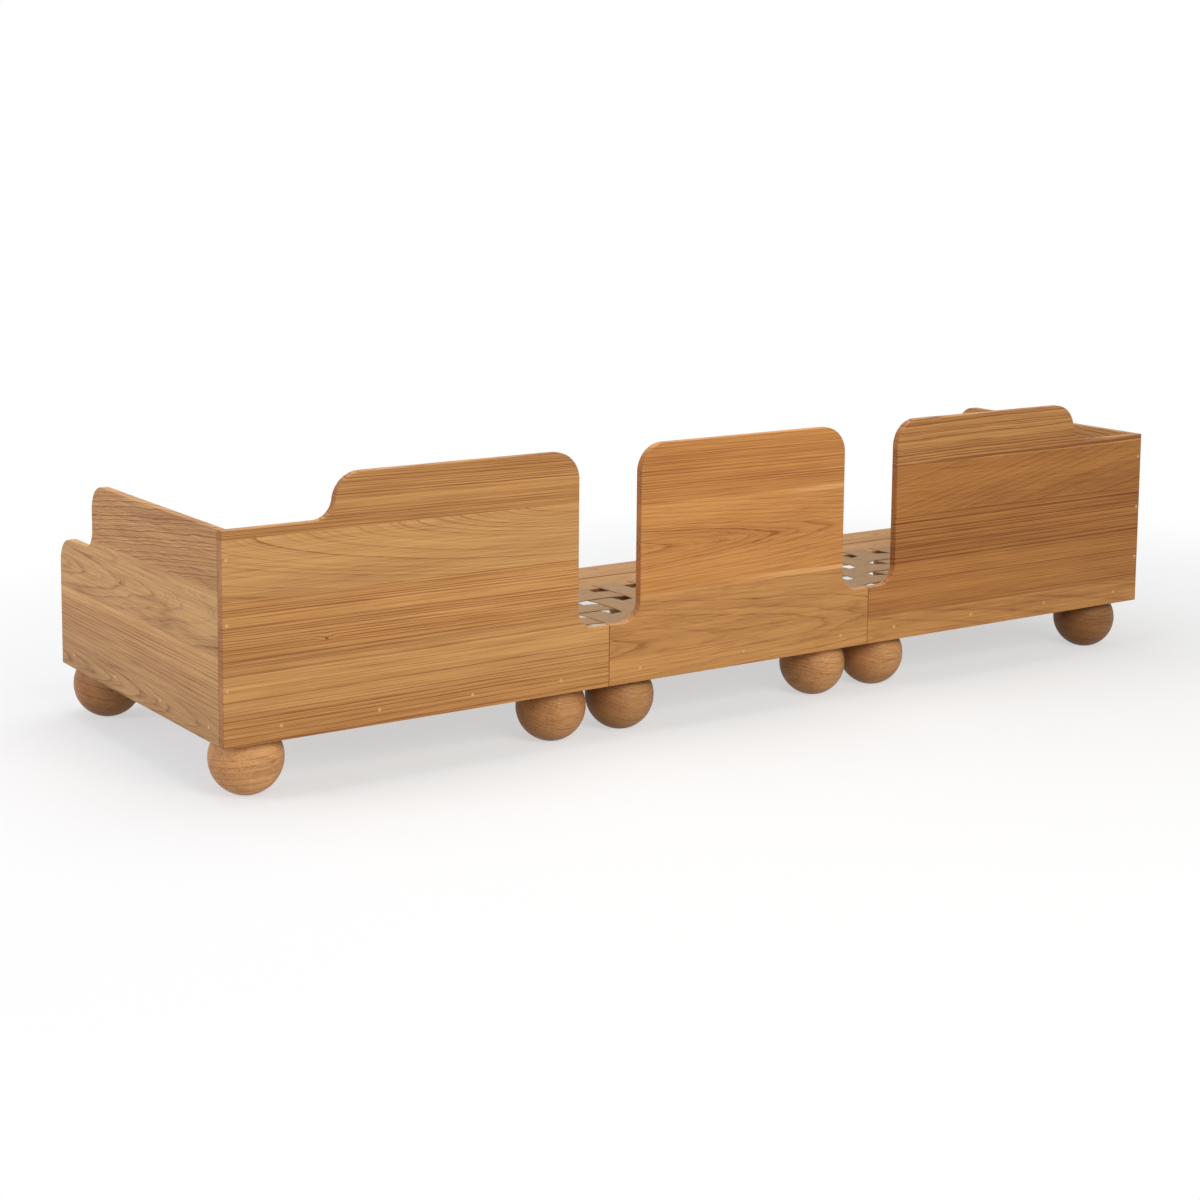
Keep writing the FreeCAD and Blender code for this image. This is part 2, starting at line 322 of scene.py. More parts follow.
class NodeBench:
    """Adds and links the nodes of one material, world or node group."""

    IN_A_ROW = 12
    SPACING = (180, -220)

    def __init__(self, tree: Tree) -> None:
        """Starts on a tree."""
        self.tree = tree
        self.count = 0

    def add(self, kind: str, **settings: object) -> Node:
        """Adds a node.

        Args:
            kind: The node's type.
            settings: Its settings.

        Returns:
            The node.
        """
        node = self.tree.nodes.new(kind)
        row, column = divmod(self.count, self.IN_A_ROW)
        node.location = (self.SPACING[0] * column, self.SPACING[1] * row)
        self.count += 1
        for name, value in settings.items():
            setattr(node, name, value)
        return node

    def put(self, socket: Socket, value: Value | Sequence[float]) -> None:
        """Links a socket to another one, or sets its value.

        Args:
            socket: The socket.
            value: The other socket, or the value.
        """
        if isinstance(value, Socket):
            self.tree.links.new(value, socket)
        else:
            socket.default_value = value

    def wire(self, node: Node, values: dict[str, Value]) -> None:
        """Fills a node's inputs by their names."""
        for name, value in values.items():
            self.put(node.inputs[name], value)

    def work(self, kind: str, values: Sequence[Value | Sequence[float]], output: int | str = 0,
             **settings: object) -> Socket:
        """Adds a node and fills its inputs in order.

        Args:
            kind: The node's type.
            values: What goes into its first inputs.
            output: The output that is wanted.
            settings: Its settings.

        Returns:
            The node's output.
        """
        node = self.add(kind, **settings)
        for socket, value in zip(node.inputs, values):
            self.put(socket, value)
        return node.outputs[output]

    def math(self, operation: str, *values: Value, clamp: bool = False) -> Socket:
        """Does arithmetic on one to three values."""
        return self.work("ShaderNodeMath", values, operation=operation, use_clamp=clamp)

    def vector(self, operation: str, *values: Socket | Sequence[float]) -> Socket:
        """Does arithmetic on vectors."""
        output = "Value" if operation == "LENGTH" else "Vector"
        return self.work("ShaderNodeVectorMath", values, output, operation=operation)

    def split(self, vector: Socket) -> Sequence[Socket]:
        """Takes a vector apart.

        Args:
            vector: The vector.

        Returns:
            Its three values.
        """
        node = self.add("ShaderNodeSeparateXYZ")
        self.put(node.inputs[0], vector)
        return tuple(node.outputs)

    def join(self, x: Value, y: Value, z: Value) -> Socket:
        """Puts a vector together."""
        return self.work("ShaderNodeCombineXYZ", (x, y, z))

    def noise(self, at: Socket, noise: Noise) -> Socket:
        """Makes smooth noise, from 0 to 1.

        Args:
            at: The coordinates.
            noise: What the noise is like.

        Returns:
            The noise.
        """
        node = self.add("ShaderNodeTexNoise", noise_dimensions="3D")
        self.wire(node, {"Vector": self.vector("MULTIPLY", at, noise.cells), "Scale": 1.0,
                         "Detail": noise.detail, "Distortion": noise.swirl})
        return node.outputs[0]

    def spread(self, value: Socket, reach: float, middle: float = 0.0) -> Socket:
        """Lets a value from 0 to 1 swing about a middle, by a reach both ways."""
        return self.math("MULTIPLY_ADD", value, 2 * reach, middle - reach)

    def step(self, value: Socket, low: Value, high: Value) -> Socket:
        """Rises smoothly from 0 to 1 between two limits."""
        return self.work("ShaderNodeMapRange", (value, low, high),
                         interpolation_type="SMOOTHSTEP")

    def mix(self, share: Value, first: Socket | Colour, second: Socket | Colour,
            blend: str = "MIX") -> Socket:
        """Mixes two colours.

        Args:
            share: How much of the second.
            first: The first colour.
            second: The second colour.
            blend: The way they mix.

        Returns:
            The mixed colour.
        """
        node = self.add("ShaderNodeMix", data_type="RGBA", blend_type=blend)
        self.put(node.inputs[0], share)
        for socket, given in ((node.inputs[6], first), (node.inputs[7], second)):
            linked = isinstance(given, Socket)
            self.put(socket, given if linked else (*given, 1.0))
        return node.outputs[2]

    def attribute(self, name: str) -> Socket:
        """Reads one of the piece's attributes."""
        return self.add("ShaderNodeAttribute", attribute_name=name).outputs["Vector"]

    def place(self) -> Socket:
        """Reads the place in the piece's own frame."""
        return self.add("ShaderNodeTexCoord").outputs["Object"]

    def bump(self, height: Socket, strength: float, distance: float) -> Socket:
        """Turns a height into a normal.

        Args:
            height: The height.
            strength: How strongly it shows.
            distance: How high a height of 1 is, in metres.

        Returns:
            The normal.
        """
        node = self.add("ShaderNodeBump")
        self.wire(node, {"Strength": strength, "Distance": distance, "Height": height})
        return node.outputs[0]

    def seen(self) -> Socket:
        """Tells the rays that see from the rays that only light.

        Returns:
            1 where the camera looks, straight, in a gloss or through glass, or else 0.
        """
        path = self.add("ShaderNodeLightPath").outputs
        gloss = self.math("MAXIMUM", path["Is Glossy Ray"], path["Is Transmission Ray"])
        return self.math("MAXIMUM", path["Is Camera Ray"], gloss)

    def mix_shaders(self, share: Socket, first: Socket, second: Socket) -> Socket:
        """Mixes two shaders."""
        return self.work("ShaderNodeMixShader", (share, first, second))


def new_material(name: str) -> tuple[Material, NodeBench, Node]:
    """Starts a material.

    Args:
        name: The material's name.

    Returns:
        The material, a bench on its nodes and its shader.
    """
    made = bpy.data.materials.new(name)
    made.use_nodes = True
    return made, NodeBench(made.node_tree), made.node_tree.nodes["Principled BSDF"]


def bare_bench(owner: Material | bpy.types.World) -> NodeBench:
    """Clears the nodes of a material or a world.

    Args:
        owner: The material or the world.

    Returns:
        A bench on its empty tree.
    """
    owner.use_nodes = True
    owner.node_tree.nodes.clear()
    return NodeBench(owner.node_tree)


def new_group(name: str, vectors: Sequence[str], values: Sequence[str],
              outputs: Sequence[str]) -> tuple[
        Tree, NodeBench, dict[str, Socket], Node]:
    """Starts a shader node group.

    Args:
        name: The group's name.
        vectors: Names of its inputs that are vectors.
        values: Names of its inputs that are values.
        outputs: Names of its outputs, which are values.

    Returns:
        The group, a bench on it, its inputs by name and its output node.
    """
    tree = bpy.data.node_groups.new(name, "ShaderNodeTree")
    for labels, way, kind in ((vectors, "INPUT", "NodeSocketVector"),
                              (values, "INPUT", "NodeSocketFloat"),
                              (outputs, "OUTPUT", "NodeSocketFloat")):
        for label in labels:
            tree.interface.new_socket(label, in_out=way, socket_type=kind)
    nodes = NodeBench(tree)
    source, ends = nodes.add("NodeGroupInput"), nodes.add("NodeGroupOutput")
    return tree, nodes, {socket.name: socket for socket in source.outputs if socket.name}, ends


@dataclass(frozen=True)
class OakFigure:
    """The figure of oak: the rings of a log that a board or a ball is cut from."""

    scatter: Point3 = (13.7, 5.3, 9.1)
    sway: Noise = Noise((1.7, 6.0, 6.0))
    waves: Noise = Noise((9.0, 55.0, 55.0), 3.0)
    knot_squash: float = 0.55
    knot_edge: Point2 = (0.0030, 0.0014)
    knot_reach: float = 0.016
    knot_push: float = 0.005
    drift: float = 0.37
    unevenness: Noise = Noise((1.0, 1.0, 1.0), 1.0)
    uneven_by: float = 1.3
    bold: Sequence[Point2] = ((0.0, 0.0), (0.07, 1.0), (0.17, 0.50), (0.36, 0.14), (0.65, 0.03),
                              (1.0, 0.0))
    fine: Sequence[Point2] = ((0.0, 0.0), (0.2, 1.0), (0.45, 0.3), (1.0, 0.0))
    fine_in_a_ring: float = 2.63
    fine_rarity: float = 1.4
    fine_share: float = 0.58
    faintest: float = 0.1
    breaks: Noise = Noise((6.0, 300.0, 300.0))
    break_limits: Point2 = (0.30, 0.68)
    break_depth: float = 0.50
    pores: Noise = Noise((34.0, 900.0, 900.0))
    pore_limits: Point2 = (0.55, 0.70)
    pores_in_lines: float = 0.8
    pores_between: float = 0.25
    fibre: Noise = Noise((5.0, 380.0, 380.0), 3.0)
    cloud: Noise = Noise((0.8, 17.0, 17.0), 3.0)
    smudge: Noise = Noise((4.0, 24.0, 24.0), 4.0, 0.8)
    smudge_reach: float = 0.6
    stroke: Noise = Noise((7.0, 42.0, 42.0), 4.0, 0.7)
    stroke_limits: Point2 = (0.52, 0.76)
    stroke_share: float = 0.55

    def group(self) -> Tree:
        """Builds the node group.

        Returns:
            A group whose inputs are the place in the board (along, across, through), the
            log's pith there with a seed, the pith's lean with the width of a ring, a knot's
            place with its darkness, how far the rings wander and ripple, how pointed their
            arches are, and how few of them are dark.
        """
        tree, nodes, given, ends = new_group(
            "oak_figure", ("At", "Pith", "Lean", "Knot"), ("Wander", "Ripple", "Point", "Rarity"),
            ("Figure", "Pores", "Fibre", "Cloud", "Blotch", "Knot"))
        _, _, seed = nodes.split(given["Pith"])
        _, _, ring = nodes.split(given["Lean"])
        scatter = nodes.vector("MULTIPLY", nodes.join(seed, seed, seed), self.scatter)
        at = nodes.vector("ADD", given["At"], scatter)
        push, spot = self.knot(nodes, given)
        radius = nodes.math("ADD", self.radius(nodes, given, at), push)

        turns = nodes.math("DIVIDE", radius, ring)
        drift = nodes.join(nodes.math("MULTIPLY", turns, self.drift), seed, 0.0)
        uneven = nodes.spread(nodes.noise(drift, self.unevenness), self.uneven_by)
        turns = nodes.math("ADD", turns, uneven)
        bold = self.lines(nodes, turns, seed, self.bold, given["Rarity"])
        turns = nodes.math("MULTIPLY", turns, self.fine_in_a_ring)
        fine = self.lines(nodes, turns, seed, self.fine, self.fine_rarity)
        breaks = nodes.step(nodes.noise(at, self.breaks), *self.break_limits)
        dashes = nodes.math("MULTIPLY_ADD", breaks, self.break_depth, 1.0 - self.break_depth)
        figure = nodes.math("MULTIPLY_ADD", fine, self.fine_share, bold)

        pores = nodes.step(nodes.noise(at, self.pores), *self.pore_limits)
        room = nodes.math("MULTIPLY_ADD", bold, self.pores_in_lines, self.pores_between)
        smudge = nodes.spread(nodes.noise(at, self.smudge), self.smudge_reach)
        strokes = nodes.step(nodes.noise(at, self.stroke), *self.stroke_limits)
        nodes.wire(ends, {
            "Figure": nodes.math("MULTIPLY", figure, dashes),
            "Pores": nodes.math("MULTIPLY", pores, room),
            "Fibre": nodes.noise(at, self.fibre),
            "Cloud": nodes.noise(at, self.cloud),
            "Blotch": nodes.math("MULTIPLY_ADD", strokes, self.stroke_share, smudge),
            "Knot": spot,
        })
        return tree

    def radius(self, nodes: NodeBench, given: dict[str, Socket], at: Socket) -> Socket:
        """Measures how far a place is from the log's pith.

        Args:
            nodes: The group's bench.
            given: The group's inputs.
            at: The place, moved by the log's seed.

        Returns:
            The distance, with the rings' wander and ripple in it.
        """
        along, *places = nodes.split(given["At"])
        piths, leans = nodes.split(given["Pith"])[:2], nodes.split(given["Lean"])[:2]
        parts = []
        for place, pith, lean in zip(places, piths, leans):
            heart = nodes.math("MULTIPLY_ADD", along, lean, pith)
            off = nodes.math("ABSOLUTE", nodes.math("SUBTRACT", place, heart))
            parts.append(nodes.math("POWER", off, given["Point"]))
        radius = nodes.math("POWER", nodes.math("ADD", *parts),
                            nodes.math("DIVIDE", 1.0, given["Point"]))
        for noise, reach in ((self.sway, given["Wander"]), (self.waves, given["Ripple"])):
            swing = nodes.spread(nodes.noise(at, noise), 1.0)
            radius = nodes.math("MULTIPLY_ADD", swing, reach, radius)
        return radius

    def knot(self, nodes: NodeBench, given: dict[str, Socket]) -> tuple[Socket, Socket]:
        """Sets a small knot into the board.

        Args:
            nodes: The group's bench.
            given: The group's inputs.

        Returns:
            How far the knot pushes the rings out, and how dark it is.
        """
        along, across, _ = nodes.split(given["At"])
        knot_along, knot_across, dark = nodes.split(given["Knot"])
        off = nodes.math("MULTIPLY", nodes.math("SUBTRACT", along, knot_along), self.knot_squash)
        apart = nodes.vector("LENGTH", nodes.join(
            off, nodes.math("SUBTRACT", across, knot_across), 0.0))
        push = nodes.math("MULTIPLY", nodes.step(apart, self.knot_reach, 0.0), self.knot_push)
        return push, nodes.math("MULTIPLY", nodes.step(apart, *self.knot_edge), dark)

    def lines(self, nodes: NodeBench, turns: Socket, seed: Socket, profile: Sequence[Point2],
              rarity: Value) -> Socket:
        """Draws the dark early wood of each ring, some rings strong and most of them faint.

        Args:
            nodes: The group's bench.
            turns: The number of rings from the pith, with its fraction.
            seed: Number that sets one log apart from the others.
            profile: How the dark fades from one ring to the next.
            rarity: How few of the rings are strong.

        Returns:
            How dark the wood is, from 0 to 1.
        """
        chance = nodes.add("ShaderNodeTexWhiteNoise", noise_dimensions="2D")
        nodes.put(chance.inputs["Vector"], nodes.join(nodes.math("FLOOR", turns), seed, 0.0))
        strength = nodes.math("POWER", chance.outputs["Value"], rarity)
        weight = nodes.math("MULTIPLY_ADD", strength, 1.0 - self.faintest, self.faintest)
        fade = nodes.add("ShaderNodeValToRGB")
        nodes.put(fade.inputs[0], nodes.math("FRACT", turns))
        stops = fade.color_ramp.elements
        while len(stops) < len(profile):
            stops.new(0.5)
        for stop, (place, level) in zip(stops, profile):
            stop.position = place
            stop.color = (level, level, level, 1.0)
        return nodes.math("MULTIPLY", fade.outputs["Color"], weight)


@dataclass(frozen=True)
class StrapWeave:
    """The plain weave of seat webbing: the widths of its threads, its gaps and its fuzz."""

    warp: float = 0.0022
    weft: float = 0.0030
    gap: float = 0.35
    fuzz: Noise = Noise((45.0, 90.0, 1.0), 4.0)

    def group(self) -> Tree:
        """Builds the node group.

        Returns:
            A group whose input is the place on the strap (along, across, seed).
        """
        tree, nodes, given, ends = new_group("strap_weave", ("At",), (), ("Thread", "Gap", "Fuzz"))
        along, across, _ = nodes.split(given["At"])
        waves = [nodes.math("SINE", nodes.math("MULTIPLY", place, 2 * math.pi / width))
                 for place, width in ((across, self.warp), (along, self.weft))]
        cells = nodes.math("MULTIPLY", *waves)
        nodes.wire(ends, {
            "Thread": nodes.math("MULTIPLY_ADD", cells, 0.5, 0.5),
            "Gap": nodes.step(nodes.math("ABSOLUTE", cells), self.gap, 0.0),
            "Fuzz": nodes.noise(given["At"], self.fuzz),
        })
        return tree


@dataclass(frozen=True)
class OakFinish:
    """Oiled oak, as the boards or the turned balls show it."""

    name: str
    pale: Colour
    deep: Colour
    end: Colour
    pore: Colour
    roughness: float
    sap: Colour = (0.78, 0.52, 0.27)
    warm: Colour = (1.04, 0.78, 0.50)
    figure_share: float = 1.6
    fibre_share: float = 0.55
    cloud_share: float = 0.42
    ground_share: float = 0.20
    pore_share: float = 0.45
    end_share: float = 0.80
    rough_reach: float = 0.09
    line_depth: float = 0.35
    relief: Point2 = (0.25, 0.0004)
    gloss: float = 0.24

    def material(self, figure: Tree) -> Material:
        """Builds the material.

        Args:
            figure: The node group of oak's figure.

        Returns:
            A material that reads a piece's grain and board attributes.
        """
        made, nodes, shader = new_material(self.name)
        tone, contrast, cut = nodes.split(nodes.attribute("board_look"))
        warmth, wander, point = nodes.split(nodes.attribute("board_mood"))
        rarity, blotch, ripple = nodes.split(nodes.attribute("board_lines"))
        group = nodes.add("ShaderNodeGroup", node_tree=figure)
        nodes.wire(group, {
            "At": nodes.attribute("grain_at"), "Pith": nodes.attribute("log_pith"),
            "Lean": nodes.attribute("log_lean"), "Knot": nodes.attribute("board_knot"),
            "Wander": wander, "Ripple": ripple, "Point": point, "Rarity": rarity})
        grain = group.outputs

        strength = nodes.math("MULTIPLY", contrast, self.figure_share)
        share = nodes.math("MULTIPLY", grain["Figure"], strength)
        share = nodes.math("ADD", share, nodes.spread(grain["Fibre"], self.fibre_share))
        share = nodes.math("ADD", share, nodes.spread(grain["Cloud"], self.cloud_share))
        share = nodes.math("MULTIPLY_ADD", grain["Blotch"], blotch, share)
        share = nodes.math("ADD", share, self.ground_share, clamp=True)
        colour = nodes.mix(share, self.pale, self.deep)
        pores = nodes.math("MULTIPLY", grain["Pores"], self.pore_share)
        for part, over in ((pores, self.pore), (grain["Knot"], self.pore),
                           (self.sapwood(nodes), self.sap)):
            colour = nodes.mix(part, colour, over)
        end = nodes.math("MULTIPLY", cut, self.end_share)
        for part, tint in ((end, self.end), (warmth, self.warm),
                           (1.0, nodes.join(tone, tone, tone))):
            colour = nodes.mix(part, colour, tint, "MULTIPLY")
        height = nodes.math("MULTIPLY_ADD", grain["Figure"], -self.line_depth,
                            nodes.math("MULTIPLY", grain["Pores"], -1.0))
        nodes.wire(shader, {
            "Base Color": colour,
            "Roughness": nodes.spread(grain["Fibre"], self.rough_reach, self.roughness),
            "Normal": nodes.bump(height, *self.relief),
            "Specular IOR Level": self.gloss,
        })
        return made

    @staticmethod
    def sapwood(nodes: NodeBench) -> Socket:
        """Lets a band of pale sapwood fade in along the board.

        Args:
            nodes: The material's bench.

        Returns:
            How much of it shows.
        """
        strength, start, stop = nodes.split(nodes.attribute("board_sap"))
        along, _, _ = nodes.split(nodes.attribute("grain_at"))
        return nodes.math("MULTIPLY", nodes.step(along, start, stop), strength)


@dataclass(frozen=True)
class WebbingFinish:
    """Grey-beige seat webbing."""

    name: str
    thread: Colour
    # The darker colour, for the fuzz, the strap's edges and the painted shade between threads
    shade: Colour
    roughness: float
    selvedge: Point2 = (0.0305, 0.0315)
    gap_painted_shade: float = 0.45
    fuzz_share: float = 0.55
    selvedge_share: float = 0.25
    gap_roughness: float = 0.08
    relief: Point2 = (0.5, 0.0004)
    gloss: float = 0.2
    sheen: float = 0.15

    def material(self, weave: Tree) -> Material:
        """Builds the material.

        Args:
            weave: The node group of the weave.

        Returns:
            A material that reads a strap's own coordinates.
        """
        made, nodes, shader = new_material(self.name)
        group = nodes.add("ShaderNodeGroup", node_tree=weave)
        at = nodes.attribute("strap_at")
        nodes.put(group.inputs["At"], at)
        cloth = group.outputs
        selvedge = nodes.step(nodes.math("ABSOLUTE", nodes.split(at)[1]), *self.selvedge)
        # Painted shade: the gaps between threads are darkened; the fuzz and the strap's edges
        # darken the thread as well
        dark = nodes.math("MULTIPLY_ADD", cloth["Gap"], self.gap_painted_shade,
                          nodes.math("MULTIPLY", cloth["Fuzz"], self.fuzz_share))
        dark = nodes.math("MULTIPLY_ADD", selvedge, self.selvedge_share, dark, clamp=True)
        nodes.wire(shader, {
            "Base Color": nodes.mix(dark, self.thread, self.shade),
            "Roughness": nodes.math("MULTIPLY_ADD", cloth["Gap"], self.gap_roughness,
                                    self.roughness),
            "Normal": nodes.bump(cloth["Thread"], *self.relief),
            "Specular IOR Level": self.gloss,
            "Sheen Weight": self.sheen,
        })
        return made


@dataclass(frozen=True)
class PlainOakFinish:
    """Oak for pieces that the solids already shape: the grain runs along one row axis."""

    name: str
    pale: Colour
    deep: Colour
    streak: Noise
    roughness: float
    streak_limits: Point2 = (0.3, 0.7)
    rough_reach: float = 0.1
    relief: Point2 = (0.15, 0.0004)
    gloss: float = 0.3

    def material(self) -> Material:
        """Builds the material on the piece's own place in the row.

        Returns:
            The material.
        """
        made, nodes, shader = new_material(self.name)
        streak = nodes.noise(nodes.place(), self.streak)
        nodes.wire(shader, {
            "Base Color": nodes.mix(nodes.step(streak, *self.streak_limits), self.pale, self.deep),
            "Roughness": nodes.spread(streak, self.rough_reach, self.roughness),
            "Normal": nodes.bump(streak, *self.relief),
            "Specular IOR Level": self.gloss,
        })
        return made


@dataclass(frozen=True)
class SteelFinish:
    """Brushed steel of the foot bolts."""

    name: str
    colour: Colour
    roughness: float
    brushing: Noise = Noise((40.0, 40.0, 2400.0), 3.0)
    line_tone: float = 0.7
    rough_reach: float = 0.1

    def material(self) -> Material:
        """Builds the material, with fine lines round the bolt.

        Returns:
            The material.
        """
        made, nodes, shader = new_material(self.name)
        lines = nodes.noise(nodes.place(), self.brushing)
        darker = tuple(self.line_tone * part for part in self.colour)
        nodes.wire(shader, {
            "Base Color": nodes.mix(lines, self.colour, darker),
            "Roughness": nodes.spread(lines, self.rough_reach, self.roughness),
            "Metallic": 1.0,
        })
        return made


@dataclass(frozen=True)
class Finishes:
    """Every material of the sofa, made once."""

    panel: Material
    board: Material
    ball: Material
    webbing: Material
    dowel: Material
    block: Material
    steel: Material

    @classmethod
    def make(cls) -> "Finishes":
        """Mixes all the finishes.

        Returns:
            The finishes.
        """
        figure, weave = OakFigure().group(), StrapWeave().group()
        panel = OakFinish("oiled_oak", pale=(0.64, 0.365, 0.138), deep=(0.27, 0.105, 0.030),
                          end=(0.69, 0.57, 0.52), pore=(0.20, 0.080, 0.028), roughness=0.52)
        board = OakFinish("seat_oak", pale=(0.58, 0.305, 0.100), deep=(0.31, 0.130, 0.037),
                          end=(0.60, 0.50, 0.44), pore=(0.22, 0.10, 0.04), roughness=0.56)
        ball = OakFinish("turned_oak", pale=(0.63, 0.350, 0.148), deep=(0.22, 0.085, 0.030),
                         end=(0.78, 0.70, 0.64), pore=(0.25, 0.105, 0.040), roughness=0.50)
        webbing = WebbingFinish("seat_webbing", thread=(0.49, 0.298, 0.138),
                                shade=(0.27, 0.148, 0.064), roughness=0.82)
        dowel = PlainOakFinish("dowel_oak", pale=(0.74, 0.50, 0.26), deep=(0.52, 0.30, 0.13),
                               streak=Noise((600.0, 600.0, 600.0), 4.0), roughness=0.5)
        block = PlainOakFinish("block_oak", pale=(0.56, 0.33, 0.15), deep=(0.32, 0.15, 0.06),
                               streak=Noise((90.0, 4.0, 90.0), 4.0), roughness=0.6)
        steel = SteelFinish("bolt_steel", colour=(0.62, 0.63, 0.65), roughness=0.35)
        return cls(panel.material(figure), board.material(figure), ball.material(figure),
                   webbing.material(weave), dowel.material(), block.material(), steel.material())


# ------------------------------------------------------------ boards and logs


@dataclass(frozen=True)
class Stave:
    """One board of a panel or frame, and how it was cut from its log.

    Attributes:
        top: The height that it reaches up to.
        pith: Where the log's pith lies, across and through the panel.
        lean: How far the pith leans both ways in a metre.
        ring: Width of a ring.
        tone: How bright the board is; on the right back this also holds painted shade, and on some
            ball feet painted light and shade.
        contrast: How dark its lines are.
        warmth: How red it is.
        seed: Number that sets its log apart from the others.
        wander: How far the rings wander.
        knot: A knot's place along and across, and how dark it is.
        point: 2 for round arches, less for pointed ones.
        sap: How much sapwood there is, and where along the board it starts and is full.
        rarity: How few of its lines are dark.
        blotch: How cloudy it is.
        ripple: How far the rings ripple.
    """

    top: float
    pith: Point2
    lean: Point2
    ring: float
    tone: float
    contrast: float
    warmth: float
    seed: float
    wander: float = 0.0025
    knot: Point3 = (9.0, 9.0, 0.0)
    point: float = 2.0
    sap: Point3 = (0.0, 0.0, 1.0)
    rarity: float = 2.0
    blotch: float = 0.0
    ripple: float = 0.0010

    def notes(self, cut: float) -> dict[str, Point3]:
        """Says what the finish has to know about a face of the board.

        Args:
            cut: How much of the face is end grain, from 0 to 1.

        Returns:
            The face's attributes by their names.
        """
        return {
            "log_pith": (*self.pith, self.seed),
            "log_lean": (*self.lean, self.ring),
            "board_look": (self.tone, self.contrast, cut),
            "board_mood": (self.warmth, self.wander, self.point),
            "board_knot": self.knot,
            "board_sap": self.sap,
            "board_lines": (self.rarity, self.blotch, self.ripple),
        }


def dress(piece: Piece, run: Run, staves: Sequence[Stave], base: float,
          centre: Vector, material: Material) -> None:
    """Gives a wooden piece its grain, board by board, and its material.

    Args:
        piece: The finished piece.
        run: The way its grain runs.
        staves: Its boards, from the lowest up; the last one takes all that is left.
        base: The height that the boards' tops are measured from.
        centre: The point that the grain's own coordinates start from.
        material: The finish.
    """
    mesh = piece.data
    names = tuple(staves[0].notes(0.0))
    mesh.attributes.new("grain_at", "FLOAT_VECTOR", "POINT")
    for name in names:
        mesh.attributes.new(name, "FLOAT_VECTOR", "FACE")
    for vertex, item in zip(mesh.vertices, mesh.attributes["grain_at"].data):
        place = vertex.co - centre
        item.vector = [place[axis] for axis in run.value]
    values = {name: mesh.attributes[name].data for name in names}
    for index, face in enumerate(mesh.polygons):
        height = face.center.z - base
        stave = next((stave for stave in staves if height <= stave.top), staves[-1])
        lean = abs(face.normal[run.value[0]])
        cut = min(1.0, max(0.0, (lean - END_GRAIN_START) / END_GRAIN_SPAN))
        for name, value in stave.notes(cut).items():
            values[name][index].vector = value
    Bench.paint(piece, material)


def place_on(piece: Piece, body: str, *nodes: str) -> None:
    """Lets a piece ride on a body and stand for the solids it replaces.

    Args:
        piece: The piece.
        body: The body's name.
        nodes: The names of the solids.
    """
    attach(piece, body)
    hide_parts(*nodes)
    log.info("%s on %s", piece.name, body)


@dataclass
class Panel:
    """An upright panel glued up from boards: a back or an arm."""

    name: str
    body: str
    staves: Sequence[Stave]
    holes: Sequence[Point3]
    finish: Material
    hole_radius: float = 0.0042
    hole_facets: int = 24
    drill_length: float = 0.060
    run: Run = Run.ACROSS_THE_ROOM
    outward: Vector = field(default_factory=lambda: Vector((0.0, 1.0, 0.0)))

    def draw(self) -> Piece:
        """Draws the panel's outline as a face, in editing."""
        raise NotImplementedError

    def thicken(self, piece: Piece) -> None:
        """Gives the face its thickness and eases its edges.

        Args:
            piece: The panel in editing.
        """
        bpy.ops.mesh.extrude_region_move(
            TRANSFORM_OT_translate={"value": self.outward * PANEL_THICKNESS})
        bpy.ops.mesh.select_all(action="SELECT")
        bpy.ops.mesh.normals_make_consistent(inside=False)
        axis = max(range(3), key=lambda index: abs(self.outward[index]))
        Bench.choose_edges(piece, lambda a, b: abs(a[axis] - b[axis]) < SAME_PLACE)
        Bench.ease(PANEL_ROUND)

    def split(self) -> None:
        """Cuts the panel's faces where its boards meet."""
        for stave in self.staves[:-1]:
            bpy.ops.mesh.select_all(action="SELECT")
            bpy.ops.mesh.bisect(plane_co=(0.0, 0.0, PANEL_BOTTOM + stave.top),
                                plane_no=(0.0, 0.0, 1.0))

    def drill(self, piece: Piece) -> None:
        """Drills the holes of the dowels that show on the panel's outside.

        Args:
            piece: The panel.
        """
        drills = []
        for place in self.holes:
            Bench.clear()
            turn = self.outward.to_track_quat("Z", "Y").to_euler()
            bpy.ops.mesh.primitive_cylinder_add(
                vertices=self.hole_facets, radius=self.hole_radius, depth=self.drill_length,
                location=place, rotation=turn)
            drills.append(bpy.context.active_object)
        tool = Bench.join(drills)
        Bench.modifier(piece, "BOOLEAN", operation="DIFFERENCE", object=tool, solver="EXACT")
        Bench.remove(tool)

    def build(self) -> None:
        """Makes the panel."""
        piece = self.draw()
        self.thicken(piece)
        self.split()
        self.drill(piece)
        Bench.smooth(piece, BOARD_SMOOTH)
        low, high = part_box(self.name)
        dress(piece, self.run, self.staves, PANEL_BOTTOM, (low + high) / 2, self.finish)
        place_on(piece, self.body, self.name)


